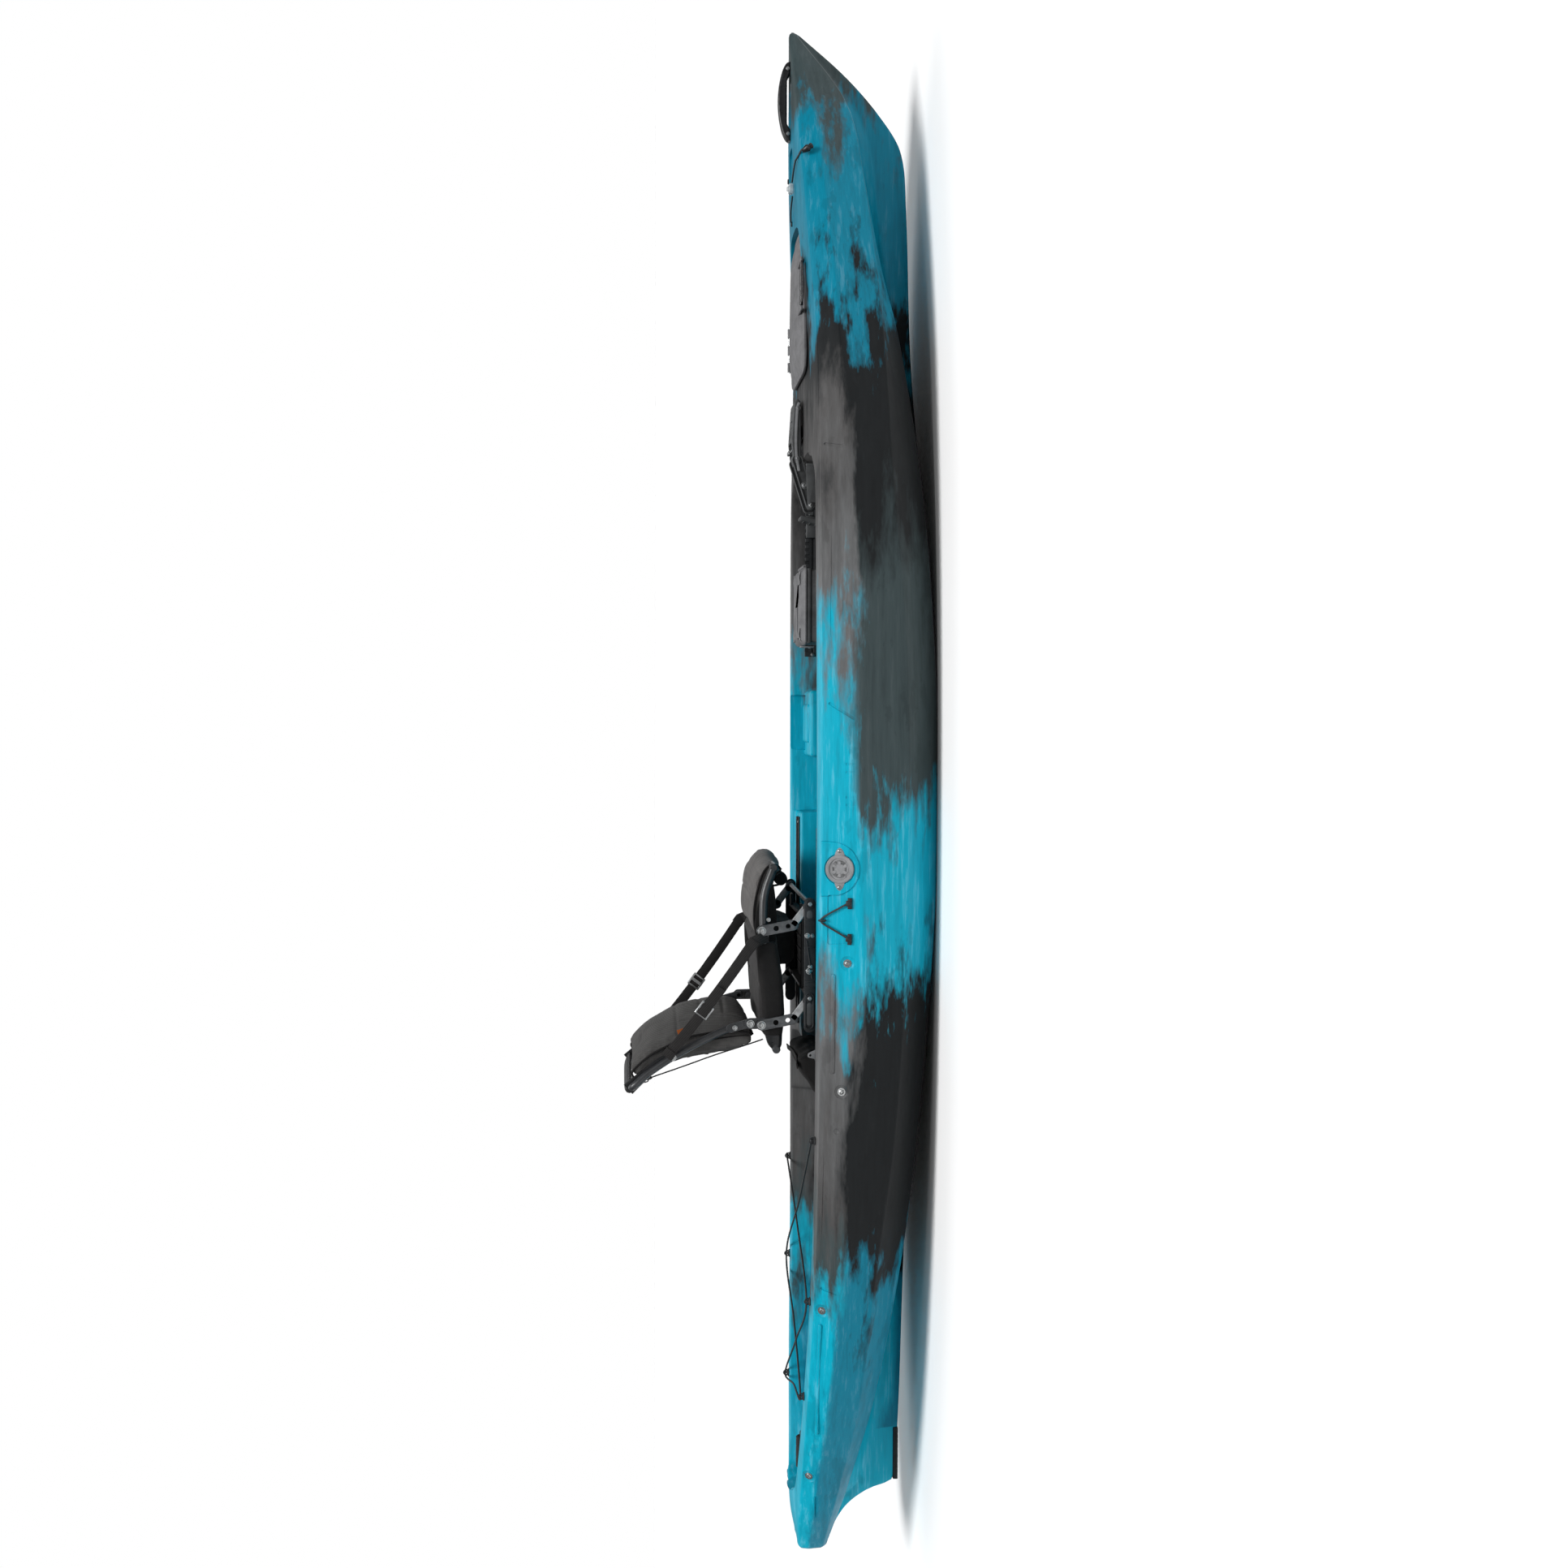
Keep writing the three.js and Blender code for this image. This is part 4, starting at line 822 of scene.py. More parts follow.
def fit_side_covers():
    """A round plug with ribbed rings, held by a screw in each ear."""
    for name, side in SIDES:
        disc = turned([(0, 3.4), (8, 3.4), (9, 2.8), (12, 2.8), (13, 3.6), (22, 3.6),
                       (23, 2.6), (26.5, 2.6), (27.5, 5.4), (31, 6), (34.5, 5.4), (36, 3.6),
                       (36, -2), (0, -2)], (0, 0, 0), (0, -1, 0), 56)
        lobe = rounded([(-56, 0), (-46, 10), (0, 21), (46, 10), (56, 0), (46, -10), (0, -21),
                        (-46, -10)], 9, 4, closed=True)
        ears = prism(lobe, -3.6, 1.5, edge=1.4, segments=3)
        # raised petals make a plain grip on the plug's face
        petals = [prism([(p[0] * math.cos(t) - p[1] * math.sin(t),
                          p[0] * math.sin(t) + p[1] * math.cos(t))
                         for p in rounded([(10, -3), (20, -4.5), (20, 4.5), (10, 3)], 2, 3,
                                          closed=True)], -4.6, -2, edge=0.7)
                  for t in (math.tau * k / 6 for k in range(6))]
        cover = together(disc, ears, *petals)
        show(f"side_plug_{name}", on_side(-154, 266, 1.6, cover, side), PALE_GREY, "hull",
             [f"side_cover_{name}"])
        screws = together(*(domed_bolt((x, -3.6, 0), (0, -1, 0), 4.6, 2.6, 1.2)
                            for x in (-46, 46)))
        show(f"side_plug_screws_{name}", on_side(-154, 266, 1.6, screws, side), STEEL, "hull")


def fit_paddle_cords():
    """A V of shock cord over a hook, with its ends clamped in two moulded feet."""
    for name, side in SIDES:
        at = lambda x, z, out=5: Vector((x, -(side_y(x, z) + out), z))
        route = curve([at(-329, 243), at(-318, 262), at(-303, 288), at(-292, 306),
                       at(-284, 312), at(-276, 306), at(-264, 288), at(-249, 262),
                       at(-237, 243)], 8)
        cord = sweep(route, circle(2.4, 10))
        hook = sweep(curve([at(-284, 300, 1), at(-284, 303, 9), at(-284, 311, 10.5),
                            at(-284, 317, 6)], 5), circle(2.6, 10))
        if side > 0:
            mirrored(cord), mirrored(hook)
        show(f"paddle_keeper_{name}", cord, CORD, "hull", [f"paddle_cord_{name}"])
        feet = [block(-15, 13, -5.5, 1, -5.5, 5, 1.8, 3), block(-7, 6, -8, 0, -4, 9, 1.8, 3)]
        clamps = [on_side(x, 241, 1.2, together(*(f.copy() for f in feet)), side)
                  for x in (-329, -239)]
        for foot in feet:
            foot.free()
        show(f"paddle_keeper_feet_{name}", together(hook, *clamps), BLACK_PLASTIC, "hull")


def fit_tankwell_cord():
    """Shock cord laced from side to side through six deck hooks."""
    hooks = [(x, side * (rim(x) + 14), deck_z(x, rim(x) + 5) + 10) for x, side in (
        (-1060, 1), (-1293, -1), (-1655, 1), (-1569, -1), (-1335, 1), (-858, -1))]
    for i, (x, y, z) in enumerate(hooks):
        base = turned([(0, -9.8), (11, -9.8), (11.5, -8.4), (9.5, -6.6), (4.5, -5.2),
                       (3.6, -3), (0, -3)], (x, y, z), sides=24)
        loop = sweep(curve([(x - 7, y, z - 7), (x - 6.5, y, z), (x, y, z + 4.6),
                            (x + 6.5, y, z), (x + 7, y, z - 7)], 6), circle(2.1, 8))
        show(f"deck_hook_{i + 1}", together(base, loop), BLACK_PLASTIC, "hull",
             [f"cord_hook_{i + 1}"])
    points = [hooks[0]]
    for a, b in zip(hooks, hooks[1:]):
        a, b = Vector(a), Vector(b)
        points += [a.lerp(b, 0.5) - Vector((0, 0, 3)), b]
    show("tankwell_lacing", sweep(curve(points, 12), circle(2.6, 10)), CORD, "hull",
         ["tankwell_cord"])
    knots = together(*(turned([(0, -6), (3.4, -5), (4.8, 0), (3.4, 5), (0, 6)], h,
                              (1, 0.4 * math.copysign(1, h[1]), 0), 12)
                       for h in (hooks[0], hooks[-1])))
    show("tankwell_lacing_knots", knots, CORD, "hull")


def fit_stern():
    grip = turned([(0, -44), (8, -44), (11, -41), (11.4, -20), (10.6, -16), (11.4, -12),
                   (11.4, 12), (10.6, 16), (11.4, 20), (11, 41), (8, 44), (0, 44)],
                  (-1788, -44, 322), (1, 0, 0), 28)
    show("stern_grab_grip", grip, FOAM, "hull", ["stern_grip"])
    strap = sweep(curve([(-1862, -40, 326), (-1846, -43, 325), (-1832, -44, 322),
                         (-1788, -44, 322), (-1744, -44, 322), (-1730, -62, 320),
                         (-1716, -92, 316)], 6), flat(15, 2.4), across=(0, 1, 0))
    show("stern_grab_strap", strap, WEBBING, "hull")
    plug = turned([(0, 0), (10.5, 0), (12.5, 1.2), (12.5, 3.5), (11, 4.6), (4.5, 4.6),
                   (4, 3.2), (0, 3.2)], (STERN + 4, 0, 302), (-1, 0, 0), 28)
    stem = turned([(0, 0), (7.5, 0), (7.5, 146), (0, 146)], (-2052, 0, 302), (1, 0, 0), 20)
    show("stern_drain", together(plug, stem), BLACK_PLASTIC, "hull",
         ["drain_plug"])
    low = keel_z(-1815)
    strip = block(-1888, -1742.4, -17, 17, low - 1, low + 12.6, 2.2, 3)
    grooves = [("DIFFERENCE", block(x, x + 3, -18, 18, low - 3, low + 0.8, 0))
               for x in range(-1874, -1750, 14)]
    show("skeg_wear_strip", carve(strip, *grooves), RUBBER, "hull",
         ["skid_strip"])


def fit_bow():
    foot = lambda x: deck_z(x, 0) + 1
    rings = []
    for k in range(53):
        t = k / 52
        x = 1768 + 208 * (0.5 - 0.5 * math.cos(math.pi * t))
        arch = foot(x) + 4 + (388.5 - foot(x)) * math.sqrt(max(0, math.sin(
            math.pi * (x - 1768) / 208)))
        gap = max(0, min(1, (x - 1798) / 16)) * max(0, min(1, (1946 - x) / 16))
        under = foot(x) - 1 + gap * (369 - foot(x))
        ridge = 0.7 * math.cos(math.tau * (x - 1768) / 9) * gap
        half = 13.6 - 2.2 * gap + ridge
        section = rounded([(-half, under), (half, under), (half * 0.8, arch),
                           (-half * 0.8, arch)], min(6, 0.45 * (arch - under)), 4, closed=True)
        rings.append([(x, p[0], p[1]) for p in section])
    show("bow_grab_handle", loft(rings), SATIN_BLACK, "hull", ["bow_handle"])
    show("bow_handle_bolts", together(*(
        domed_bolt((x, side * 14.2, foot(x) + 6), (0, side, 0), 3.6, 2)
        for x in (1786, 1958) for side in (1, -1))), STEEL, "hull")
    on_deck = lambda x, y, up: (x, y, deck_z(x, y) + up)
    aft = curve([on_deck(1560, 18, 4), on_deck(1585, -8, 5), on_deck(1612, -42, 4)], 10)
    show("bow_lashing", sweep(aft, circle(2.4, 10)), CORD, "hull", ["bow_cord_aft"])
    low = deck_z(1627, -50) + 2
    lock = together(block(1614, 1640, -68, -44, low, low + 13, 4, 4),
                    turned([(0, 0), (6, 0), (6, 6), (4.6, 7.4), (0, 7.4)],
                           (1627, -56, low + 10.5), (0, 0, 1), 24))
    show("cord_lock", lock, CLEAR, "hull", ["bow_cord_lock"])
    ahead = curve([on_deck(1643, -62, 6), on_deck(1662, -92, 6), on_deck(1680, -128, 6)], 10)
    drop = curve([ahead[-1], (1688, -146, 350), (1693, -(sheer_half(1694) + 12), 346),
                  (1695, -(sheer_half(1696) + 20), 340)], 8)
    show("toggle_cord", sweep(ahead + drop[1:], circle(2.4, 10)), CORD, "hull",
         ["bow_cord_fore"])
    toggle = turned([(0, -17), (5, -16.4), (7.4, -13.5), (7.4, -10), (6.2, -8.4), (7.6, -6),
                     (9.6, -3), (9, 2), (7.2, 8), (5.4, 12), (3.4, 15), (0, 15.4)],
                    sides=28)
    toggle.transform(Matrix.Translation((1696, -(sheer_half(1696) + 23), 331))
                     @ Matrix.Rotation(-0.5, 4, "Y") @ Matrix.Rotation(-0.35, 4, "X"))
    show("lashing_toggle", toggle, SATIN_BLACK, "hull", ["bow_toggle"])
    eyes = [turned([(0, -2), (7, -2), (7, 1.4), (5.6, 2.8), (0, 2.8)], on_deck(x, y, 1), sides=20)
            for x, y in ((1556, 22), (1690, 92))]
    show("bow_deck_eyes", together(*eyes), BLACK_PLASTIC, "hull")
    port = turned([(0, 2), (16, 2), (17, 3.4), (20, 3.4), (21, 2), (26, 2), (28, 0), (28, -4),
                   (0, -4)], (955, 0, 321), sides=40)
    show("deck_port_cap", port, BLACK_PLASTIC, "hull")


fit_bolts()
fit_side_covers()
fit_paddle_cords()
fit_tankwell_cord()
fit_stern()
fit_bow()


# ---- bow hatch ---------------------------------------------------------------------------
def build_hatch():
    seal = sweep([(*p, 327.4) for p in hatch_outline(-10)], circle(1.9, 10), across=(0, 0, 1),
                 closed=True)
    show("hatch_gasket", seal, RUBBER, "hull", ["hatch_seal"])
    # the lid is a dished moulding: a rolled rim, a gutter and a crowned middle
    levels = [(-4, 328.8), (0, 329), (0.6, 331.5), (0, 335), (-3, 337), (-9, 337.4),
              (-13, 336), (-17, 337.5), (-26, 341), (-40, 345), (-56, 348.8), (-74, 351.5),
              (-92, 352.6), (-110, 352.9)]
    rings = [[(*p, z) for p in hatch_outline(g, g)] for g, z in levels]
    lid = loft(rings)
    ribs = []
    for y, reach in ((-52, 92), (-26, 118), (0, 128), (26, 118), (52, 92)):
        ribs.append(sweep([(1318 - reach + 2 * reach * t, y * (1 - 0.22 * t),
                            351.4 - 6.4 * (2 * t - 1) ** 2 - (y / 52) ** 2 * 2.6)
                           for t in (k / 20 for k in range(21))],
                          rounded([(-5, -2), (5, -2), (3, 1.4), (-3, 1.4)], 1.2, 3, closed=True),
                          across=(0, 1, 0), grow=lambda t: min(1, 6 * t + 0.25, 6.25 - 6 * t)))
    knuckles = [turned([(0, 0), (4.4, 0), (5, 0.8), (5, 25), (4.4, 26), (0, 26)],
                       (x, 186, 341), (1, 0, 0), 20) for x in (1190, 1237, 1284)]
    leaf = block(1190, 1310, 128, 186, 336.4, 339.8, 1, 2)
    ears = [block(x, x + 12, -180, -92, 341, 346.8, 2, 3) for x in (1282, 1408)]
    show("hatch_lid_moulding", together(lid, leaf, *knuckles, *ears), LID_GREY, "hatch_lid",
         ["hatch_lid"])
    show("hatch_lid_ribs", together(*ribs), LID_GREY, "hatch_lid")
    pin = turned([(0, 0), (2.6, 0), (2.6, 126), (0, 126)], (1187, 186, 341), (1, 0, 0), 14)
    show("hatch_hinge_pin", pin, STEEL, "hatch_lid")
    lever = block(1299, 1403, -198.5, -176, 341.4, 345.8, 1.8, 3)
    lever = carve(lever, ("DIFFERENCE", block(1318, 1384, -193, -186, 343.6, 350, 1.4, 2)))
    barrel = turned([(0, 0), (4, 0), (4.5, 0.6), (4.5, 111.4), (4, 112), (0, 112)],
                    (1295, -176, 344), (1, 0, 0), 20)
    lip = sweep(curve([(1306, -198, 343), (1350, -199, 341.4), (1396, -198, 343)], 8),
                circle(1.8, 8))
    show("hatch_latch_lever", together(lever, barrel, lip), SATIN_BLACK, "hatch_latch",
         ["hatch_latch"])


build_hatch()


# ---- yoke, drive pod and foot braces -------------------------------------------------------
def line_strip(line, width, end=5):
    """The outline of a strip along a line of (x, z), with round ends."""
    line = [Vector(p) for p in line]
    left, right = [], []
    for i, point in enumerate(line):
        along = (line[min(i + 1, len(line) - 1)] - line[max(i - 1, 0)]).normalized()
        side = Vector((-along.y, along.x)) * width / 2
        left.append(point + side)
        right.append(point - side)

    def cap(centre, start):
        spoke = start - centre
        return [centre + Matrix.Rotation(-math.pi * k / end, 2) @ spoke for k in range(1, end)]
    return left + cap(line[-1], left[-1]) + right[::-1] + cap(line[0], right[0])


def drilled(bm, holes, low, high):
    """Round holes of (x, z, radius) through a plate that stands along the boat."""
    return carve(bm, *(("DIFFERENCE", turned([(0, 0), (r, 0), (r, high - low + 4),
                                              (0, high - low + 4)], (x, low - 2, z), (0, 1, 0), 24))
                       for x, z, r in holes))


def build_yoke():
    base = block(895.5, 904.4, -56, 56, 268, 317.5, 2, 3)
    ears = []
    for side in (1, -1):
        low, high = (48, 56) if side > 0 else (-56, -48)
        ears.append(drilled(prism(rounded([(782, 292), (899, 285), (899, 318), (782, 312)], 8, 4,
                                          closed=True), low, high, edge=1.2),
                            [(792, 302, 5.4)], low, high))
    show("yoke_hinge_bracket", together(base, *ears), DARK_GREY, "hull",
         ["yoke_bracket"])
    pin = together(turned([(0, -62), (4, -62), (5, -61), (5, 61), (4, 62), (0, 62)],
                          (792, 0, 302), (0, 1, 0), 20),
                   domed_bolt((792, -57, 302), (0, -1, 0), 7.4, 4.5, 1.2),
                   domed_bolt((792, 57, 302), (0, 1, 0), 7.4, 4.5, 1.2))
    show("yoke_hinge_pin", pin, STEEL, "hull", ["yoke_pin"])
    arms = []
    for side in (1, -1):
        low, high = (35, 47) if side > 0 else (-47, -35)
        outline = line_strip([(794, 302), (850, 320), (914, 340)], 25, 8)
        web = drilled(prism(outline, low + 4, high - 4, edge=0.8), [(792, 302, 5.4)],
                      low, high)
        # flanges run round each arm's edge
        flange = sweep([(p[0], (low + high) / 2, p[1]) for p in outline],
                       flat(high - low, 3, 0.8), across=(0, 1, 0), closed=True)
        arms += [web, flange]
    head = prism(rounded([(905, 330), (902, 345), (924, 352), (965, 356.6), (1066, 350),
                          (1078, 341), (1070, 331.5), (960, 329.5)], 6, 4, closed=True),
                 -46.6, 46.6, edge=3, segments=3)
    head = carve(head, ("DIFFERENCE", block(926, 962, -34, 34, 320, 370, 5, 3)),
                 ("DIFFERENCE", block(976, 1050, -30, 30, 349, 372, 6, 3)))
    ribs = [block(x, x + 2.6, -30, 30, 345, 351.5, 0.8, 2) for x in (992, 1008, 1024)]
    show("yoke_frame", together(*arms, head, *ribs), DARK_GREY, "yoke",
         ["yoke"])
    band = sweep(curve([(884, -47.4, 336), (930, -48, 343), (985, -48, 344), (1048, -48, 341),
                        (1066, -47.4, 336)], 8), flat(2.4, 7, 0.8), across=(0, 1, 0))
    show("yoke_lever_band", band, PALE_GREY, "yoke")
    studs = together(domed_bolt((846, -45.4, 320), (0, -1, 0), 8, 4, 1.3),
                     domed_bolt((1052, -46.4, 338), (0, -1, 0), 5, 3, 1.3),
                     domed_bolt((918, -46.4, 340), (0, -1, 0), 4.4, 3, 1.3))
    show("yoke_bolts", studs, ALLOY, "yoke")
    bail = sweep(curve([(946, -41, 350), (936, -40, 357), (940, -20, 359.5), (940, 20, 359.5),
                        (936, 40, 357), (946, 41, 350)], 6), circle(2, 8))
    show("yoke_wire_bail", bail, STEEL, "yoke")


def build_pod():
    walls = carve(block(424, 618, -96, 96, 85, 318, 6, 3),
                  ("DIFFERENCE", block(428, 614, -92, 92, 89, 400, 5, 3)))
    ribs = [block(x, x + 6, side * 96 - 1.4, side * 96 + 1.4, 110, 300, 0.8, 2)
            for x in (462, 518, 574) for side in (1, -1)]
    brim = carve(block(421, 621, -98.5, 98.5, 306, 317.6, 3, 3),
                 ("DIFFERENCE", block(428, 614, -92, 92, 300, 330, 0)))
    show("drive_pod_box", together(walls, brim, *ribs), DARK_GREY, "hull",
         ["pod_box"])
    outline = lambda g: rounded([(418 - g, -100 - g), (418 - g, 100 + g), (624 + g, 100 + g),
                                 (624 + g, -100 - g)], 12 + g, 5, closed=True)
    levels = [(-2, 318.6), (0, 319.4), (0, 322.5), (-4, 328), (-14, 334.6), (-22, 337),
              (-30, 337.6), (-38, 336.4), (-44, 336.2)]
    lid = loft([[(*p, z) for p in outline(g)] for g, z in levels])
    leaf = block(618, 628, -70, 70, 319.4, 323.6, 1, 2)
    barrel = turned([(0, 0), (4, 0), (4.5, 0.6), (4.5, 139.4), (4, 140), (0, 140)],
                    (628, -70, 322), (0, 1, 0), 18)
    grip = sweep([(446 + 74 * t, 0, 337.2 + 0.1 * math.sin(math.pi * t)) for t in
                  (k / 10 for k in range(11))], flat(60, 2.4, 1), across=(0, 1, 0))
    show("drive_pod_lid", together(lid, leaf, barrel, grip), LID_GREY, "pod_lid",
         ["pod_lid"])
    latch = together(block(413, 417.6, -16, 16, 290, 326, 1.6, 3),
                     block(411.5, 415, -12, 12, 297, 303, 1, 2))
    show("drive_pod_latch", latch, PALE_GREY, "pod_lid", ["pod_latch"])


def build_foot_braces():
    for name, side in SIDES:
        rail = carve(block(398, 832, 285, 294, 250, 284, 1.6, 2),
                     ("DIFFERENCE", block(408, 822, 282, 287.2, 257, 265, 1, 2)),
                     *(("DIFFERENCE", block(x, x + 9, 280, 289, 272, 290, 0))
                       for x in range(412, 812, 18)))
        if side < 0:
            mirrored(rail)
        show(f"foot_brace_track_{name}", rail, BLACK_PLASTIC, "hull",
             [f"foot_track_{name}"])
        bolts = together(*(domed_bolt((x, 285, 261), (0, -1, 0), 4.6, 2.4)
                           for x in (404, 826)))
        if side < 0:
            mirrored(bolts)
        show(f"foot_brace_bolts_{name}", bolts, STEEL, "hull")
        face = curve([(764, 190), (767, 218), (772, 238), (780, 268), (788, 300)], 4)
        pad = prism(line_strip(face, 13, 6), 214, 276, edge=2.2, segments=3)
        treads = [sweep([(p[0] - 6.6, 219, p[1]), (p[0] - 6.6, 271, p[1])], circle(1.7, 8))
                  for p in face[1:-1:2]]
        shoe = block(738, 800, 273, 284.6, 253, 282, 2, 3)
        trigger = block(800, 812, 262, 273, 262, 276, 2, 3)
        pedal = together(pad, shoe, trigger, *treads)
        if side < 0:
            mirrored(pedal)
        show(f"foot_brace_pedal_{name}", pedal, DARK_GREY, f"foot_pedal_{name}",
             [f"foot_pedal_{name}"])


build_yoke()
build_pod()
build_foot_braces()


# ---- soft goods --------------------------------------------------------------------------
def puffed(bm, cap=12, voxel=5, held=(), pressure=4.0):
    """Blows a closed shape up like a stuffed cover, in cloth. Points near the held lines stay
    where they are, as a sewn edge does, and nothing moves further than cap."""
    bm.transform(Matrix.Scale(0.001, 4))
    mesh = bpy.data.meshes.new("cover")
    bm.to_mesh(mesh)
    bm.free()
    cover = bpy.data.objects.new("cover", mesh)
    bpy.context.scene.collection.objects.link(cover)
    remesh = cover.modifiers.new("voxels", "REMESH")
    remesh.mode, remesh.voxel_size = "VOXEL", voxel / 1000
    graph = bpy.context.evaluated_depsgraph_get()
    even = bpy.data.meshes.new_from_object(cover.evaluated_get(graph))
    cover.modifiers.remove(remesh)
    cover.data = even
    group = cover.vertex_groups.new(name="sewn")
    lines = [[Vector(p) / 1000 for p in line] for line in held]
    for vert in even.vertices:
        near = min(((vert.co - geometry.intersect_point_line(vert.co, a, b)[0]).length
                    for line in lines for a, b in zip(line, line[1:])
                    if (vert.co - a).length < (b - a).length + 0.02
                    and (vert.co - b).length < (b - a).length + 0.02), default=1)
        group.add([vert.index], 1 if near < 0.009 else 0, "REPLACE")
    rest = [v.co.copy() for v in even.vertices]
    cloth = cover.modifiers.new("stuffing", "CLOTH")
    cloth.settings.quality = 5
    cloth.settings.mass = 0.3
    cloth.settings.tension_stiffness = 15
    cloth.settings.compression_stiffness = 15
    cloth.settings.bending_stiffness = 0.5
    cloth.settings.use_pressure = True
    cloth.settings.uniform_pressure_force = pressure
    cloth.settings.effector_weights.gravity = 0
    cloth.settings.vertex_group_mass = "sewn"
    cloth.point_cache.frame_start, cloth.point_cache.frame_end = 1, 20
    for step in range(1, 21):
        bpy.context.scene.frame_set(step)
    graph = bpy.context.evaluated_depsgraph_get()
    blown = bpy.data.meshes.new_from_object(cover.evaluated_get(graph))
    for vert, start in zip(blown.vertices, rest):
        move = vert.co - start
        if move.length > cap / 1000:
            vert.co = start + move.normalized() * cap / 1000
    cover.modifiers.remove(cloth)
    cover.data = blown
    bpy.context.scene.frame_set(1)
    result = bmesh.new()
    result.from_mesh(cover.data)
    bpy.data.objects.remove(cover)
    bmesh.ops.smooth_vert(result, verts=result.verts, factor=0.5, use_axis_x=True,
                          use_axis_y=True, use_axis_z=True)
    result.transform(Matrix.Scale(1000, 4))
    return result


def stitched(bm, lines, deep=2.6, wide=5.0):
    """Presses sewn seams along lines into a cover."""
    segments = [(Vector(a), Vector(b)) for line in lines for a, b in zip(line, line[1:])]
    bm.normal_update()
    for vert in bm.verts:
        near = 1e9
        for a, b in segments:
            if (vert.co - a).length > (b - a).length + 24:
                continue
            point, along = geometry.intersect_point_line(vert.co, a, b)
            point = a if along < 0 else b if along > 1 else point
            near = min(near, (vert.co - point).length)
        if near < 3 * wide:
            vert.co -= vert.normal * deep * math.exp(-(near / wide) ** 2)
    return bm


def finer(bm):
    bmesh.ops.subdivide_edges(bm, edges=bm.edges, cuts=1, use_grid_fill=True, smooth=0.4)
    return bm


def pad_rings(outline, half, edge=22, tuck=7, nose=0.0, parts=12):
    """A cover across the boat from an outline in (x, z), pulled in towards its two sides. Its
    front edge bows back by nose at the sides."""
    centre = sum((Vector(p) for p in outline), Vector((0, 0))) / len(outline)
    sides = [(-half, tuck + 4), (-half + 1, tuck), (-half + edge * 0.25, tuck * 0.45),
             (-half + edge * 0.6, tuck * 0.12), (-half + edge, 0)]
    across = [(-half + edge + 2 * (half - edge) * k / parts, 0) for k in range(1, parts)]
    back = min(p[0] for p in outline)
    reach = max(p[0] for p in outline) - back
    shaped = []
    for y, pull in sides + across + [(-y, pull) for y, pull in sides[::-1]]:
        ring = []
        for p in outline:
            p = Vector(p)
            away = p - centre
            p = p - away.normalized() * min(pull, 0.6 * away.length)
            p.x -= nose * (y / half) ** 2 * max(0, (p.x - back) / reach) ** 1.5
            ring.append((p.x, y, p.y))
        shaped.append(ring)
    return shaped


def piping(route, radius=2.6):
    return sweep(route, circle(radius, 8))


def at_y(points, y):
    return [(p[0], y, p[1]) for p in points]


def build_seat_cushion():
    rear = [(-624, 424), (-616, 436), (-560, 441), (-480, 444), (-404, 447), (-350, 458),
            (-334, 460), (-328, 440), (-336, 414), (-400, 407), (-500, 406), (-600, 408)]
    rear = curve(rear, 3, closed=True)
    cover = puffed(loft(pad_rings(rear, 205, 26, 5)), 7, 5)
    channels = [[(x, -190, z), (x, 190, z)] for x, z in ((-560, 447), (-480, 450), (-404, 452))]
    cover = stitched(finer(cover), channels, 2.2, 5)
    pad = show("seat_rear_pad", cover, FABRIC, "seat", ["seat_cushion"], 60)
    front = [(-346, 452), (-320, 464), (-280, 467), (-232, 463), (-190, 457), (-164, 447),
             (-142, 432), (-134, 418), (-139, 403), (-152, 393), (-160, 397), (-163, 420),
             (-186, 431), (-236, 424), (-300, 424), (-340, 428)]
    front = curve(front, 3, closed=True)
    cover = puffed(loft(pad_rings(front, 207, 16, 3, nose=28)), 7, 5)
    seams = [[(-246, -200, 468), (-236, 0, 469), (-246, 200, 468)],
             [(-186, -204, 450), (-166, 0, 451), (-186, 204, 450)]]
    cover = stitched(finer(cover), seams, 2.4, 4.5)
    pad = show("seat_front_pad", cover, PALE_FABRIC, "seat", ["seat_cushion"],
               60)
    for name, side in SIDES:
        top = curve([(-348, 456), (-322, 463), (-286, 465), (-246, 460), (-212, 452),
                     (-186, 443), (-168, 431), (-160, 418), (-163, 404), (-174, 394)], 5)
        low = curve([(-340, 426), (-300, 424), (-250, 424), (-216, 424), (-188, 410),
                     (-178, 396)], 5)
        lines = [piping(at_y(line, side * 204), 3.0) for line in (top, low)]
        show(f"seat_front_piping_{name}", together(*lines), BLACK_FABRIC, "seat")
        # the dark gusset between the front pad and the sleeve
        gusset = prism(curve([(-378, 438), (-350, 460), (-300, 462), (-240, 446), (-206, 420),
                              (-240, 410), (-320, 406), (-372, 412)], 4, closed=True),
                       *sorted((side * 205.5, side * 212)), edge=2, segments=3)
        show(f"seat_gusset_{name}", gusset, BLACK_FABRIC, "seat")


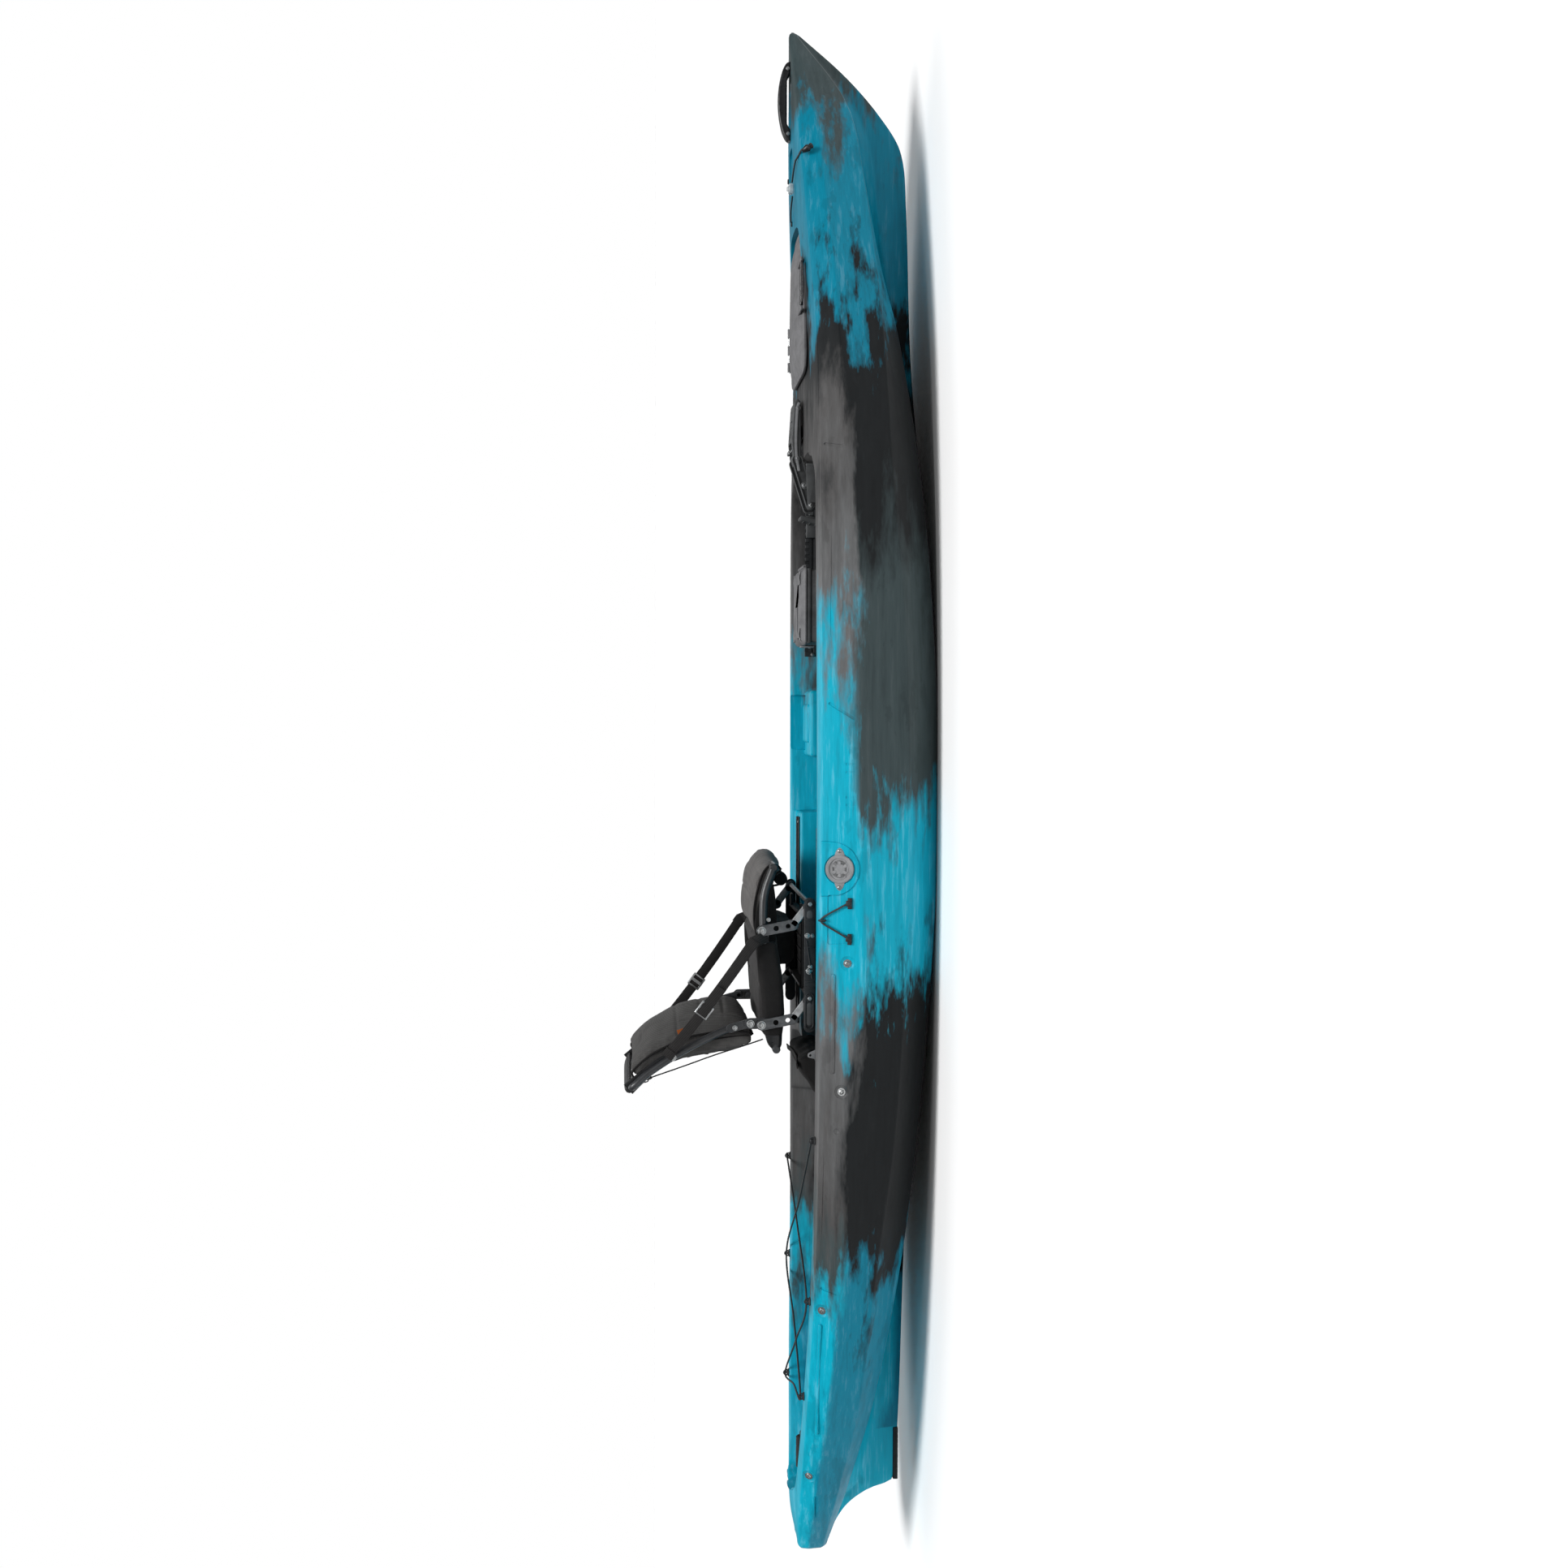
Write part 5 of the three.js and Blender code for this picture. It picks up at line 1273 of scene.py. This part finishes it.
def build_bolsters():
    """A smooth sleeve over each side tube, closed behind by a shiny moulded cap."""
    for name, side in SIDES:
        def ring(x, z, tall, wide):
            section = rounded([(-wide, -tall), (wide, -tall), (wide, tall), (-wide, tall)],
                              min(wide, tall) * 0.98, 6, closed=True)
            return [(x, side * 230.5 + p[0], z + p[1]) for p in section]
        marks = [(-606, 414.5, 21.5, 15), (-580, 415, 25, 16.4), (-545, 416.5, 29.5, 17),
                 (-500, 419, 30, 17), (-450, 424, 31, 17), (-410, 429, 30, 17),
                 (-380, 433, 28, 16.5), (-364, 435, 26, 15.5), (-360, 436, 22, 12)]
        smooth = [smooth_line([(m[0], m[k]) for m in marks]) for k in (1, 2, 3)]
        rings = [ring(x, *(f(x) for f in smooth)) for x in stations((-606, -360, 6))]
        sleeve = loft(rings)
        for vert in sleeve.verts:       # faint wrinkles where the sleeve is drawn on
            wave = noise.noise(Vector((vert.co.x * 0.03, vert.co.z * 0.02, side * 4.0)))
            vert.co.z += 1.1 * wave
        piece = show(f"seat_sleeve_{name}", sleeve, BLACK_FABRIC, "seat",
                     [f"seat_bolster_{name}"], 50)
        marks = [(-641, 409, 3, 3), (-640, 409, 8, 7), (-636, 410, 13, 11),
                 (-628, 411.5, 18, 14), (-616, 413.5, 20.6, 15.4), (-602, 415, 22.6, 16)]
        cap = loft([ring(*m) for m in marks])
        show(f"seat_sleeve_cap_{name}", cap, SATIN_BLACK, "seat",
             [f"seat_bolster_{name}"], 50)


def build_seat_frame():
    route = [(-637, 409), (-560, 424), (-450, 434), (-345, 441), (-240, 440), (-165, 416)]
    shapes = []
    for side in (1, -1):
        shapes.append(sweep(curve(at_y(route, side * 234), 8), circle(10.8, 20)))
    for x, z in ((-640, 408), (-165, 416)):
        shapes.append(turned([(0, -244), (8, -244), (10.6, -241), (10.6, 241), (8, 244),
                              (0, 244)], (x, 0, z), (0, 1, 0), 20))
    for i, x in enumerate((-328, -573)):
        for side in (1, -1):
            low, high = sorted((side * 228, side * 246))
            shapes.append(prism(line_strip([(x, 432), (x, 448)], 18, 6), low, high, edge=1.2))
            shapes.append(turned([(0, 0), (5, 0), (5, 16), (0, 16)],
                                 (x, side * 244, 448), (0, side, 0), 18))
    for side in (1, -1):
        low, high = sorted((side * 238, side * 245))
        lug = prism(rounded([(-585, 432), (-556, 434), (-557, 482), (-565, 491), (-577, 491),
                             (-585, 482)], 5, 3, closed=True), low, high, edge=1)
        shapes.append(drilled(lug, [(-571, 476, 5.4)], low, high))
    shapes.append(turned([(0, 0), (4, 0), (4, 33), (0, 33)], (-285, 234, 432), (0, 1, 0), 16))
    show("seat_tube_frame", together(*shapes), TUBE, "seat", ["seat_frame"])
    bolts = []
    for side in (1, -1):
        for x in (-328, -573):
            bolts.append(domed_bolt((x, side * 257.4, 448), (0, side, 0), 8.6, 4.6, 1.3))
        for x, z in ((-300, 430), (-344, 436)):
            bolts.append(domed_bolt((x, side * 247, z), (0, side, 0), 4.4, 2.6, 1.3))
    show("seat_frame_bolts", together(*bolts), STEEL, "seat")
    # a slack stowage pocket and a rolled strap hang under the seat
    rings = []
    for k in range(21):
        y = -158 + 316 * k / 20
        close = math.sqrt(max(0.03, 1 - abs(2 * k / 20 - 1) ** 8))
        ring = rounded([(-438, 408), (-312, 408), (-318, 408 - 58 * close),
                        (-430, 408 - 62 * close)], 16, 4, closed=True)
        rings.append([(p[0], y, p[1]) for p in ring])
    pocket = finer(loft(rings))
    pocket.normal_update()
    for vert in pocket.verts:
        fold = noise.noise(Vector((vert.co.x * 0.04, vert.co.y * 0.02, vert.co.z * 0.05)))
        vert.co += vert.normal * (fold * 4 - 3)
    pocket = show("under_seat_pocket", pocket, BLACK_FABRIC, "seat", crease=60)
    roll = turned([(0, -104), (13, -104), (16.4, -101), (16.4, -60), (15, -57), (16.4, -54),
                   (16.4, 54), (15, 57), (16.4, 60), (16.4, 101), (13, 104), (0, 104)],
                  (-209, 0, 386), (0, 1, 0), 28)
    hangers = [sweep(curve([(-226, y, 440), (-228, y, 412), (-226, y, 392), (-214, y, 368.8),
                            (-196, y, 374), (-191, y, 392), (-196, y, 412), (-206, y, 436)], 5),
                     flat(30, 2.6, 1), across=(0, 1, 0)) for y in (-74, 74)]
    show("under_seat_roll", together(roll, *hangers), BLACK_FABRIC, "seat")
    # a woven sling under the cushion, drawn tight between the tubes
    sling = [[(x, y, z - 13 - 5 * math.cos(math.pi * y / 440)) for y in range(-228, 229, 19)]
             for x, z in ((-620, 420), (-500, 430), (-380, 440), (-260, 441), (-170, 424))]
    under = loft([[*row, *((x, y, z - 1.6) for x, y, z in row[::-1])] for row in sling])
    show("seat_sling", under, BLACK_FABRIC, "seat")


def build_back():
    rear_edge = [(-721, 766), (-703, 742), (-668, 690), (-645, 603), (-626, 506), (-613, 472),
                 (-592, 464)]
    outline = [(-719, 770), (-704, 782), (-688, 784), (-630, 744), (-597, 700), (-567, 645),
               (-549, 547), (-555, 498), (-570, 472), (-589, 466), (-608, 472), (-621, 507),
               (-640, 603), (-663, 688), (-698, 740)]
    outline = curve(outline, 3, closed=True)
    face = [(-708, 778), (-688, 783), (-630, 743), (-597, 699), (-568, 645), (-550, 547),
            (-556, 498), (-571, 474)]
    middle = [(-716, 770), (-694, 748), (-664, 704), (-640, 650), (-622, 590), (-611, 520),
              (-608, 478)]
    cover = puffed(loft(pad_rings(outline, 205, 16, 5, nose=62)), 9, 5)
    bowed = lambda x, y: x - 46 * (y / 205) ** 2
    channels = [[(bowed(x, y), y, z) for y in range(-190, 191, 38)]
                for x, z in ((-634, 756), (-568, 664), (-546, 600), (-542, 540))]
    upright = [[(bowed(x + 6, y), y, z) for x, z in face[1:-1]] for y in (-128, 128)]
    cover = stitched(finer(cover), channels + upright, 2.6, 5)
    pad = show("back_pad", cover, PANEL_FABRIC, "backrest", ["back_cushion"],
               60)
    for name, side in SIDES:
        y = side * 201
        edge = curve([(-714, 779), (-698, 780), (-660, 738), (-634, 690), (-612, 640),
                      (-597, 547), (-597, 500), (-603, 474)], 5)
        lines = [piping(at_y(edge, y + side * 2), 3.0),
                 piping(at_y(curve(middle, 5), y + side * 3.6), 1.6)]
        show(f"back_piping_{name}", together(*lines), BLACK_FABRIC, "backrest")
        # the black edge band over the frame tube
        band = sweep(curve([(-746, side * 203, 792), (-724, side * 205, 768),
                            (-700, side * 206, 740), (-672, side * 207, 704),
                            (-655, side * 208, 672)], 8), flat(34, 9, 4), across=(1, 0, 0.55),
                     grow=lambda t: 1.0 - 0.45 * t)
        show(f"back_edge_band_{name}", band, SATIN_BLACK, "backrest")
    top = sweep(curve([(-741, -204, 787), (-744, -150, 790.5), (-745, 0, 791), (-744, 150, 790.5),
                       (-741, 204, 787)], 8),
                rounded([(-15, -9), (15, -9), (15, 7.5), (-15, 7.5)], 7, 4, closed=True),
                across=(1, 0, -0.35))
    show("back_top_sleeve", top, SATIN_BLACK, "backrest")
    # the lumbar flap behind, with its pull tabs
    flap_line = curve([(-671, 690), (-657, 640), (-645, 590), (-634, 540), (-624, 490),
                       (-612, 462)], 5)
    flap = sweep(at_y(flap_line, 0), flat(352, 7, 3), across=(0, 1, 0),
                 grow=lambda t: 1 - 0.12 * math.cos(math.tau * t) ** 2)
    tabs = [sweep(curve([(x, y, z), (x - 12, y, z - 6), (x - 14, y, z - 22), (x - 2, y, z - 26)],
                        5), flat(24, 2.2), across=(0, 1, 0))
            for x, z in ((-650, 604), (-632, 520)) for y in (-150, 150)]
    show("back_lumbar_flap", together(flap, *tabs), BLACK_FABRIC, "backrest")
    tag = block(-4, 12, -1, 1, -11, 11, 0.4, 2)
    tag.transform(Matrix.Translation((-602, -196, 652)) @ Matrix.Rotation(-0.32, 4, "Y")
                  @ Matrix.Rotation(0.5, 4, "Z"))
    show("back_fabric_tag", tag, TAG, "backrest")


def build_back_frame():
    side_line = [(-580, 512), (-600, 562), (-645, 652), (-700, 738), (-733, 776)]
    bend = [(-742, 200, 785), (-745, 160, 789), (-745, 60, 789), (-745, -60, 789),
            (-745, -160, 789), (-742, -200, 785)]
    route = at_y(side_line, 220) + bend + at_y(side_line[::-1], -220)
    shapes = [sweep(curve(route, 8), circle(9.8, 18))]
    bolts = []
    for side in (1, -1):
        low, high = sorted((side * 228, side * 237))
        foot = prism(line_strip([(-571, 476), (-577, 500), (-585, 528)], 22, 8), low, high,
                     edge=1.4)
        shapes.append(foot)
        shapes.append(turned([(0, 0), (5, 0), (5, 19), (0, 19)], (-571, side * 228, 476),
                             (0, side, 0), 18))
        bolts += [domed_bolt((-571, side * 246.6, 476), (0, side, 0), 8, 4.6, 1.3),
                  domed_bolt((-583, side * 236.6, 516), (0, side, 0), 5.4, 3, 1.3),
                  domed_bolt((-660, side * 229, 676), (0, side, 0), 6, 3, 1.5)]
    show("back_tube_frame", together(*shapes), TUBE, "backrest",
         ["back_frame"])
    show("back_frame_bolts", together(*bolts), STEEL, "backrest")


def build_straps():
    """Webbing from the seat's front to the back, through a ladder-lock buckle."""
    for name, side in SIDES:
        low, high = Vector((-356, side * 264, 470)), Vector((-652, side * 240, 690))
        at = lambda t: low.lerp(high, t)
        along = (high - low).normalized()
        flat_way = Vector((0, 1, 0)).cross(along).normalized()
        out = along.cross(flat_way)
        bow = lambda t: -6 * math.sin(math.pi * t)
        path = [at(k / 40) + Vector((0, 0, bow(k / 40))) for k in range(41)]
        strap = sweep(path, flat(28, 2.2, 0.8), across=flat_way)
        spare = [at(t) + Vector((0, 0, bow(t))) + out * (lift * side)
                 for t, lift in ((0.64, 5), (0.58, 6.5), (0.50, 4), (0.44, 4.4), (0.40, 7))]
        tail = sweep(curve(spare, 6), flat(27, 1.8, 0.7), across=flat_way)
        loops = []
        for t in (0.015, 0.985):
            loops.append(sweep([at(t - 0.03), at(t), at(t + 0.03)], flat(31, 6.4, 2),
                               across=flat_way))
        # the strap's foot wraps down round the seat tube
        foot = curve([at(0.03), low, (-350, side * 261, 455), (-346, side * 254, 443),
                      (-343, side * 248, 432)], 6)
        loops.append(sweep(foot, flat(30, 3.4, 1.2), across=(1, 0, 0)))
        crossing = ("seat", tuple(low / 1000), "backrest", tuple(high / 1000))
        show(f"back_webbing_{name}", together(strap, tail, *loops), WEBBING, crossing,
             [f"back_strap_{name}"])
        middle = at(0.6) + Vector((0, 0, bow(0.6)))
        turn = Matrix((along, flat_way, out)).transposed().to_4x4()
        place = Matrix.Translation(middle) @ turn
        frame_shape = carve(block(-19, 19, -19, 19, -3.6, 3.6, 2, 3),
                            ("DIFFERENCE", block(-14, -4, -14.5, 14.5, -8, 8, 1, 2)),
                            ("DIFFERENCE", block(4, 14, -14.5, 14.5, -8, 8, 1, 2)))
        rib = block(-3, 3, -15, 15, 2.4, 5.4, 1.2, 2)
        buckle = together(frame_shape, rib)
        buckle.transform(place)
        finish_of = ALLOY
        show(f"ladder_buckle_{name}", buckle, finish_of, crossing,
             [f"strap_buckle_{name}"])


def build_rear_cord():
    """The back's recline cord, with a hook, a slider and a lock on it."""
    line = [(-768, 0, 778), (-766, 0, 752), (-752, 0, 712), (-728, 0, 640), (-700, 0, 560),
            (-672, 0, 470), (-657, 0, 424)]
    route = curve(line, 10)
    cord = sweep(route, circle(1.9, 10))
    loop = sweep(curve([(-762, 6, 776), (-772, 4, 764), (-770, 0, 742), (-764, -4, 738),
                        (-758, -3, 752), (-757, 3, 770)], 6), circle(1.7, 8))
    second = sweep(curve([(-726, 18, 742), (-722, 16, 716), (-716, 12, 690), (-706, 8, 650),
                          (-692, 4, 600)], 6), circle(1.5, 8))
    whole = together(cord, loop, second)
    crossing = ("seat", (-0.645, 0, 0.42), "backrest", (-0.745, 0, 0.74))
    show("recline_cord", whole, CORD, crossing, ["rear_cord"])
    fittings = [turned([(0, -9), (3.4, -8), (4.6, -3), (4.6, 3), (3.4, 8), (0, 9)], place,
                       (0.32, 0, -0.95), 16)
                for place in ((-760, 0, 735), (-719, 13, 703))]
    fittings += [turned([(0, -17), (4, -16), (5, -10), (5, 10), (4, 16), (0, 17)], place,
                        (0.34, 0, -0.94), 16)
                 for place in ((-707, 8, 655), (-697, 5, 617))]
    show("recline_cord_fittings", together(*fittings), SATIN_BLACK, crossing)


def build_lever():
    line = curve([(-285, 432), (-262, 420), (-245, 408), (-225, 401), (-208, 398)], 4)
    lever = drilled(prism(line_strip(line, 14, 6), 259, 265, edge=1.4), [(-285, 432, 4.4)],
                    259, 265)
    knob = sweep([(-224, 262, 401), (-206, 262, 397.6)], rounded(
        [(-4, -7.5), (4, -7.5), (4, 7.5), (-4, 7.5)], 3, 3, closed=True), across=(0, 1, 0))
    show("seat_height_lever", together(lever, knob), BLACK_PLASTIC, "height_lever",
         ["height_lever"])
    show("height_lever_bolt", domed_bolt((-285, 265, 432), (0, 1, 0), 6, 3.2, 1.3), STEEL,
         "height_lever")


def build_legs():
    """Perforated plates with a tube foot, one pair in front and one behind."""
    for which, x in (("front", -258), ("rear", -503)):
        for name, side in SIDES:
            low, high = sorted((side * 249, side * 257))
            line = curve([(x - 55, 366), (x - 60, 392), (x - 65, 420), (x - 70, 448)], 4)
            plate = drilled(prism(line_strip(line, 28, 8), low, high, edge=1.2),
                            [(x - 58, 380, 6.4), (x - 63.5, 411, 7), (x - 70, 448, 5.4)],
                            low, high)
            eye = drilled(prism(line_strip([(x, 324), (x - 8, 331)], 23, 8), low, high,
                                edge=1.2), [(x, 324, 6.4)], low, high)
            foot = sweep([(x - 6, side * 253, 329), (x - 24, side * 253, 343),
                          (x - 55, side * 253, 367)],
                         rounded([(-4, -11), (4, -11), (4, 11), (-4, 11)], 3.9, 4, closed=True),
                         across=(0, 1, 0))
            show(f"{which}_leg_plate_{name}", together(plate, eye), LEG_ALLOY,
                 f"{which}_legs", [f"{which}_leg_{name}"])
            show(f"{which}_leg_foot_{name}", foot, ALLOY, f"{which}_legs",
                 [f"{which}_leg_{name}"])


def build_carriage():
    for name, side in SIDES:
        low, high = sorted((side * 258, side * 266))
        out = side * 266
        plate = prism(line_strip([(-578, 324.6), (-400, 324.6), (-256, 324.6)], 29, 10), low,
                      high, edge=1.6, segments=3)
        loop = sweep([(p[0], out + side * 0.6, p[1]) for p in line_strip(
            [(-572, 325), (-500, 325)], 21, 8)], circle(2.1, 8), closed=True)
        bars = [block(x, x + 5, *sorted((out - side * 1, out + side * 1.6)), 313, 336, 0.8, 2)
                for x in (-478, -462, -372, -300)]
        worn = [prism(line_strip([(a, 325), (b, 325)], 15, 8),
                      *sorted((out - side * 1, out + side * 0.7)), edge=0.5)
                for a, b in ((-566, -522), (-290, -282))]
        show(f"carriage_inlay_{name}", together(*worn), DARK_GREY, "seat_carriage")
        rib = sweep([(-452, out, 318), (-352, out, 333)], circle(2.3, 8))
        hub = turned([(0, 0), (12.5, 0), (12.5, 2.4), (9, 3.6), (8.4, 1.8), (0, 1.8)],
                     (-258, out - side * 0.5, 324.6), (0, side, 0), 28)
        hub2 = turned([(0, 0), (10.5, 0), (10.5, 2.2), (8, 3), (7.2, 1.6), (0, 1.6)],
                      (-503, out - side * 0.5, 324.6), (0, side, 0), 28)
        show(f"carriage_side_{name}", together(plate, loop, *bars, rib, hub, hub2),
             BLACK_PLASTIC, "seat_carriage", [f"carriage_plate_{name}"])
        bolts = [domed_bolt((x, out, z), (0, side, 0), r, r * 0.7, 1.35)
                 for x, z, r in ((-432, 326, 6.4), (-421, 323, 4.6), (-340, 331, 5.2),
                                 (-340, 318, 4.2), (-258, 324.6, 4.4))]
        show(f"carriage_bolts_{name}", together(*bolts), STEEL, "seat_carriage")
    for which, x in (("front", -258), ("rear", -503)):
        rod = turned([(0, -271), (4.6, -271), (5.9, -269.6), (5.9, 269.6), (4.6, 271),
                      (0, 271)], (x, 0, 324), (0, 1, 0), 20)
        show(f"{which}_axle", rod, ALLOY, "seat_carriage",
             [f"carriage_axle_{which}"])
    tray = carve(block(-490, -300, -170, 170, 313, 338, 6, 3),
                 ("DIFFERENCE", block(-484, -306, -164, 164, 317, 400, 4, 3)))
    arms = [block(-496, -270, *sorted((s * 150, s * 120)), 330.2, 337.8, 2, 2) for s in (1, -1)]
    arms = [carve(arm, ("DIFFERENCE", block(-484, -306, -164, 164, 317, 400, 0)))
            for arm in arms]
    slats = [block(x, x + 5, -164, 164, 317, 319.4, 0.8, 2) for x in (-456, -420, -384, -348)]
    show("under_seat_tray_moulding", together(tray, *arms, *slats), BLACK_PLASTIC,
         "seat_carriage", ["under_seat_tray"])


def build_rails():
    for name, side in SIDES:
        y = side * 266
        foot = block(-658, -62, y - 20, y + 20, 300.4, 305, 1.4, 2)
        ridge = carve(block(-658, -62, y - 6, y + 6, 303.4, 308.9, 1, 2),
                      *(("DIFFERENCE", block(x, x + 6, y - 2.6, y + 2.6, 306.8, 312, 0))
                        for x in range(-646, -70, 24)))
        show(f"seat_track_{name}", together(foot, ridge), BLACK_PLASTIC, "hull",
             [f"seat_rail_{name}"])
        screws = [domed_bolt((x, y + dy, 304.6), (0, 0, 1), 3.6, 1.4, 1.2)
                  for x in (-644, -76) for dy in (-13, 13)]
        show(f"seat_track_screws_{name}", together(*screws), STEEL, "hull")


def build_pouch():
    """A slack gear pouch behind the seat, sagging between its two ends."""
    outline = [(-803, 254), (-740, 253), (-690, 254), (-670, 276), (-668, 302), (-670, 320),
               (-684, 344), (-704, 347), (-724, 343), (-752, 322), (-780, 299), (-800, 274)]
    outline = curve(outline, 3, closed=True)
    middle = Vector((-730, 292))
    rings = []
    for k in range(25):
        y = -148 + 296 * k / 24
        slack = 1 - 0.14 * (1 - (2 * k / 24 - 1) ** 2)
        close = math.sqrt(max(0.02, 1 - abs(2 * k / 24 - 1) ** 10))
        ring = []
        for p in outline:
            lift = (p.y - 254) * slack * (0.7 + 0.3 * close) + 254
            ring.append((middle.x + (p.x - middle.x) * (0.86 + 0.14 * close), y, lift))
        rings.append(ring)
    bag = loft(rings)
    bag = finer(bag)
    bag.normal_update()
    for vert in bag.verts:
        if vert.co.z > 258:
            fold = noise.noise(Vector((vert.co.x * 0.03, vert.co.y * 0.018, vert.co.z * 0.03)))
            vert.co += vert.normal * (fold * 5 - 3)
    bag = show("gear_pouch", bag, BLACK_FABRIC, "hull", ["stern_pouch"], 60)
    hem = sweep([(-704, y, 344 - 10 * (1 - (y / 140) ** 2)) for y in range(-140, 141, 10)],
                flat(16, 3, 1), across=(1, 0, 0.2))
    show("gear_pouch_hem", hem, WEBBING, "hull")
    lug = drilled(prism(rounded([(-668, 300.5), (-640, 300.5), (-652, 326), (-662, 326)], 5, 3,
                                closed=True), -240, -236, edge=0.8), [(-657, 319, 3.4)],
                  -240, -236)
    show("pouch_lug", lug, PALE_GREY, "hull")


build_seat_cushion()
build_bolsters()
build_seat_frame()
build_back()
build_back_frame()
build_straps()
build_rear_cord()
build_lever()
build_legs()
build_carriage()
build_rails()
build_pouch()


# ---- floor, light and camera --------------------------------------------------------------
def room():
    floor = bmesh.new()
    bmesh.ops.create_grid(floor, x_segments=1, y_segments=1, size=40)
    mesh = bpy.data.meshes.new("floor")
    floor.to_mesh(mesh)
    floor.free()
    material, shader, place = finish("pale_paper_floor", Roughness=0.95)
    join(material, ramp(material, speckle(material, place, 900, 2), (0.3, "#f4f4f4"),
                        (0.7, "#f7f7f7")), shader, "Base Color")
    mesh.materials.append(material)
    plane = bpy.data.objects.new("floor", mesh)
    plane.location.z = -0.0005
    bpy.context.scene.collection.objects.link(plane)
    world = bpy.data.worlds.new("studio")
    world.use_nodes = True
    back = world.node_tree.nodes["Background"]
    back.inputs["Color"].default_value = (1, 1, 1, 1)
    # a white backdrop to look at, that lights the boat less than it shows
    ray = world.node_tree.nodes.new("ShaderNodeLightPath")
    power = world.node_tree.nodes.new("ShaderNodeMapRange")
    power.inputs["To Min"].default_value, power.inputs["To Max"].default_value = 0.26, 1.0
    world.node_tree.links.new(ray.outputs["Is Camera Ray"], power.inputs["Value"])
    world.node_tree.links.new(power.outputs["Result"], back.inputs["Strength"])
    bpy.context.scene.world = world
    bpy.context.scene.view_settings.view_transform = "Standard"


def softbox(name, place, aim, size, power):
    light = bpy.data.lights.new(name, "AREA")
    light.shape, light.size, light.size_y, light.energy = "RECTANGLE", *size, power
    lamp = bpy.data.objects.new(name, light)
    lamp.location = place
    lamp.rotation_euler = (Vector(aim) - Vector(place)).to_track_quat("-Z", "Y").to_euler()
    bpy.context.scene.collection.objects.link(lamp)


def soft_sun(name, direction, power, spread_degrees):
    """A far, very wide lamp: even light over the whole floor, with soft shadows."""
    light = bpy.data.lights.new(name, "SUN")
    light.energy, light.angle = power, math.radians(spread_degrees)
    lamp = bpy.data.objects.new(name, light)
    lamp.rotation_euler = Vector(direction).to_track_quat("-Z", "Y").to_euler()
    bpy.context.scene.collection.objects.link(lamp)


def camera():
    """The boat fills the frame bow up: the camera lies on its side, a little above the deck."""
    yaw, fall = math.radians(2.3), math.radians(5.2)
    ahead = Vector((-math.sin(yaw) * math.cos(fall), math.cos(yaw) * math.cos(fall),
                    -math.sin(fall)))
    bowward = ahead.cross(Vector((0, 0, 1))).normalized()
    up = bowward.cross(ahead)
    data = bpy.data.cameras.new("camera")
    data.sensor_width, data.lens = 36, 36 * 2181 / 1932
    eye = bpy.data.objects.new("camera", data)
    eye.matrix_world = (Matrix.Translation((0.235, -4.8, 0.806))
                        @ Matrix((-up, bowward, -ahead)).transposed().to_4x4())
    bpy.context.scene.collection.objects.link(eye)
    bpy.context.scene.camera = eye


room()
soft_sun("ceiling", (-0.12, 0.42, -0.9), 2.6, 24)
soft_sun("back_wall", (0.1, -0.6, -0.8), 0.6, 40)
softbox("window", (0.6, -3.4, 2.9), (0, 0, 0.25), (5.5, 0.3), 24)
camera()
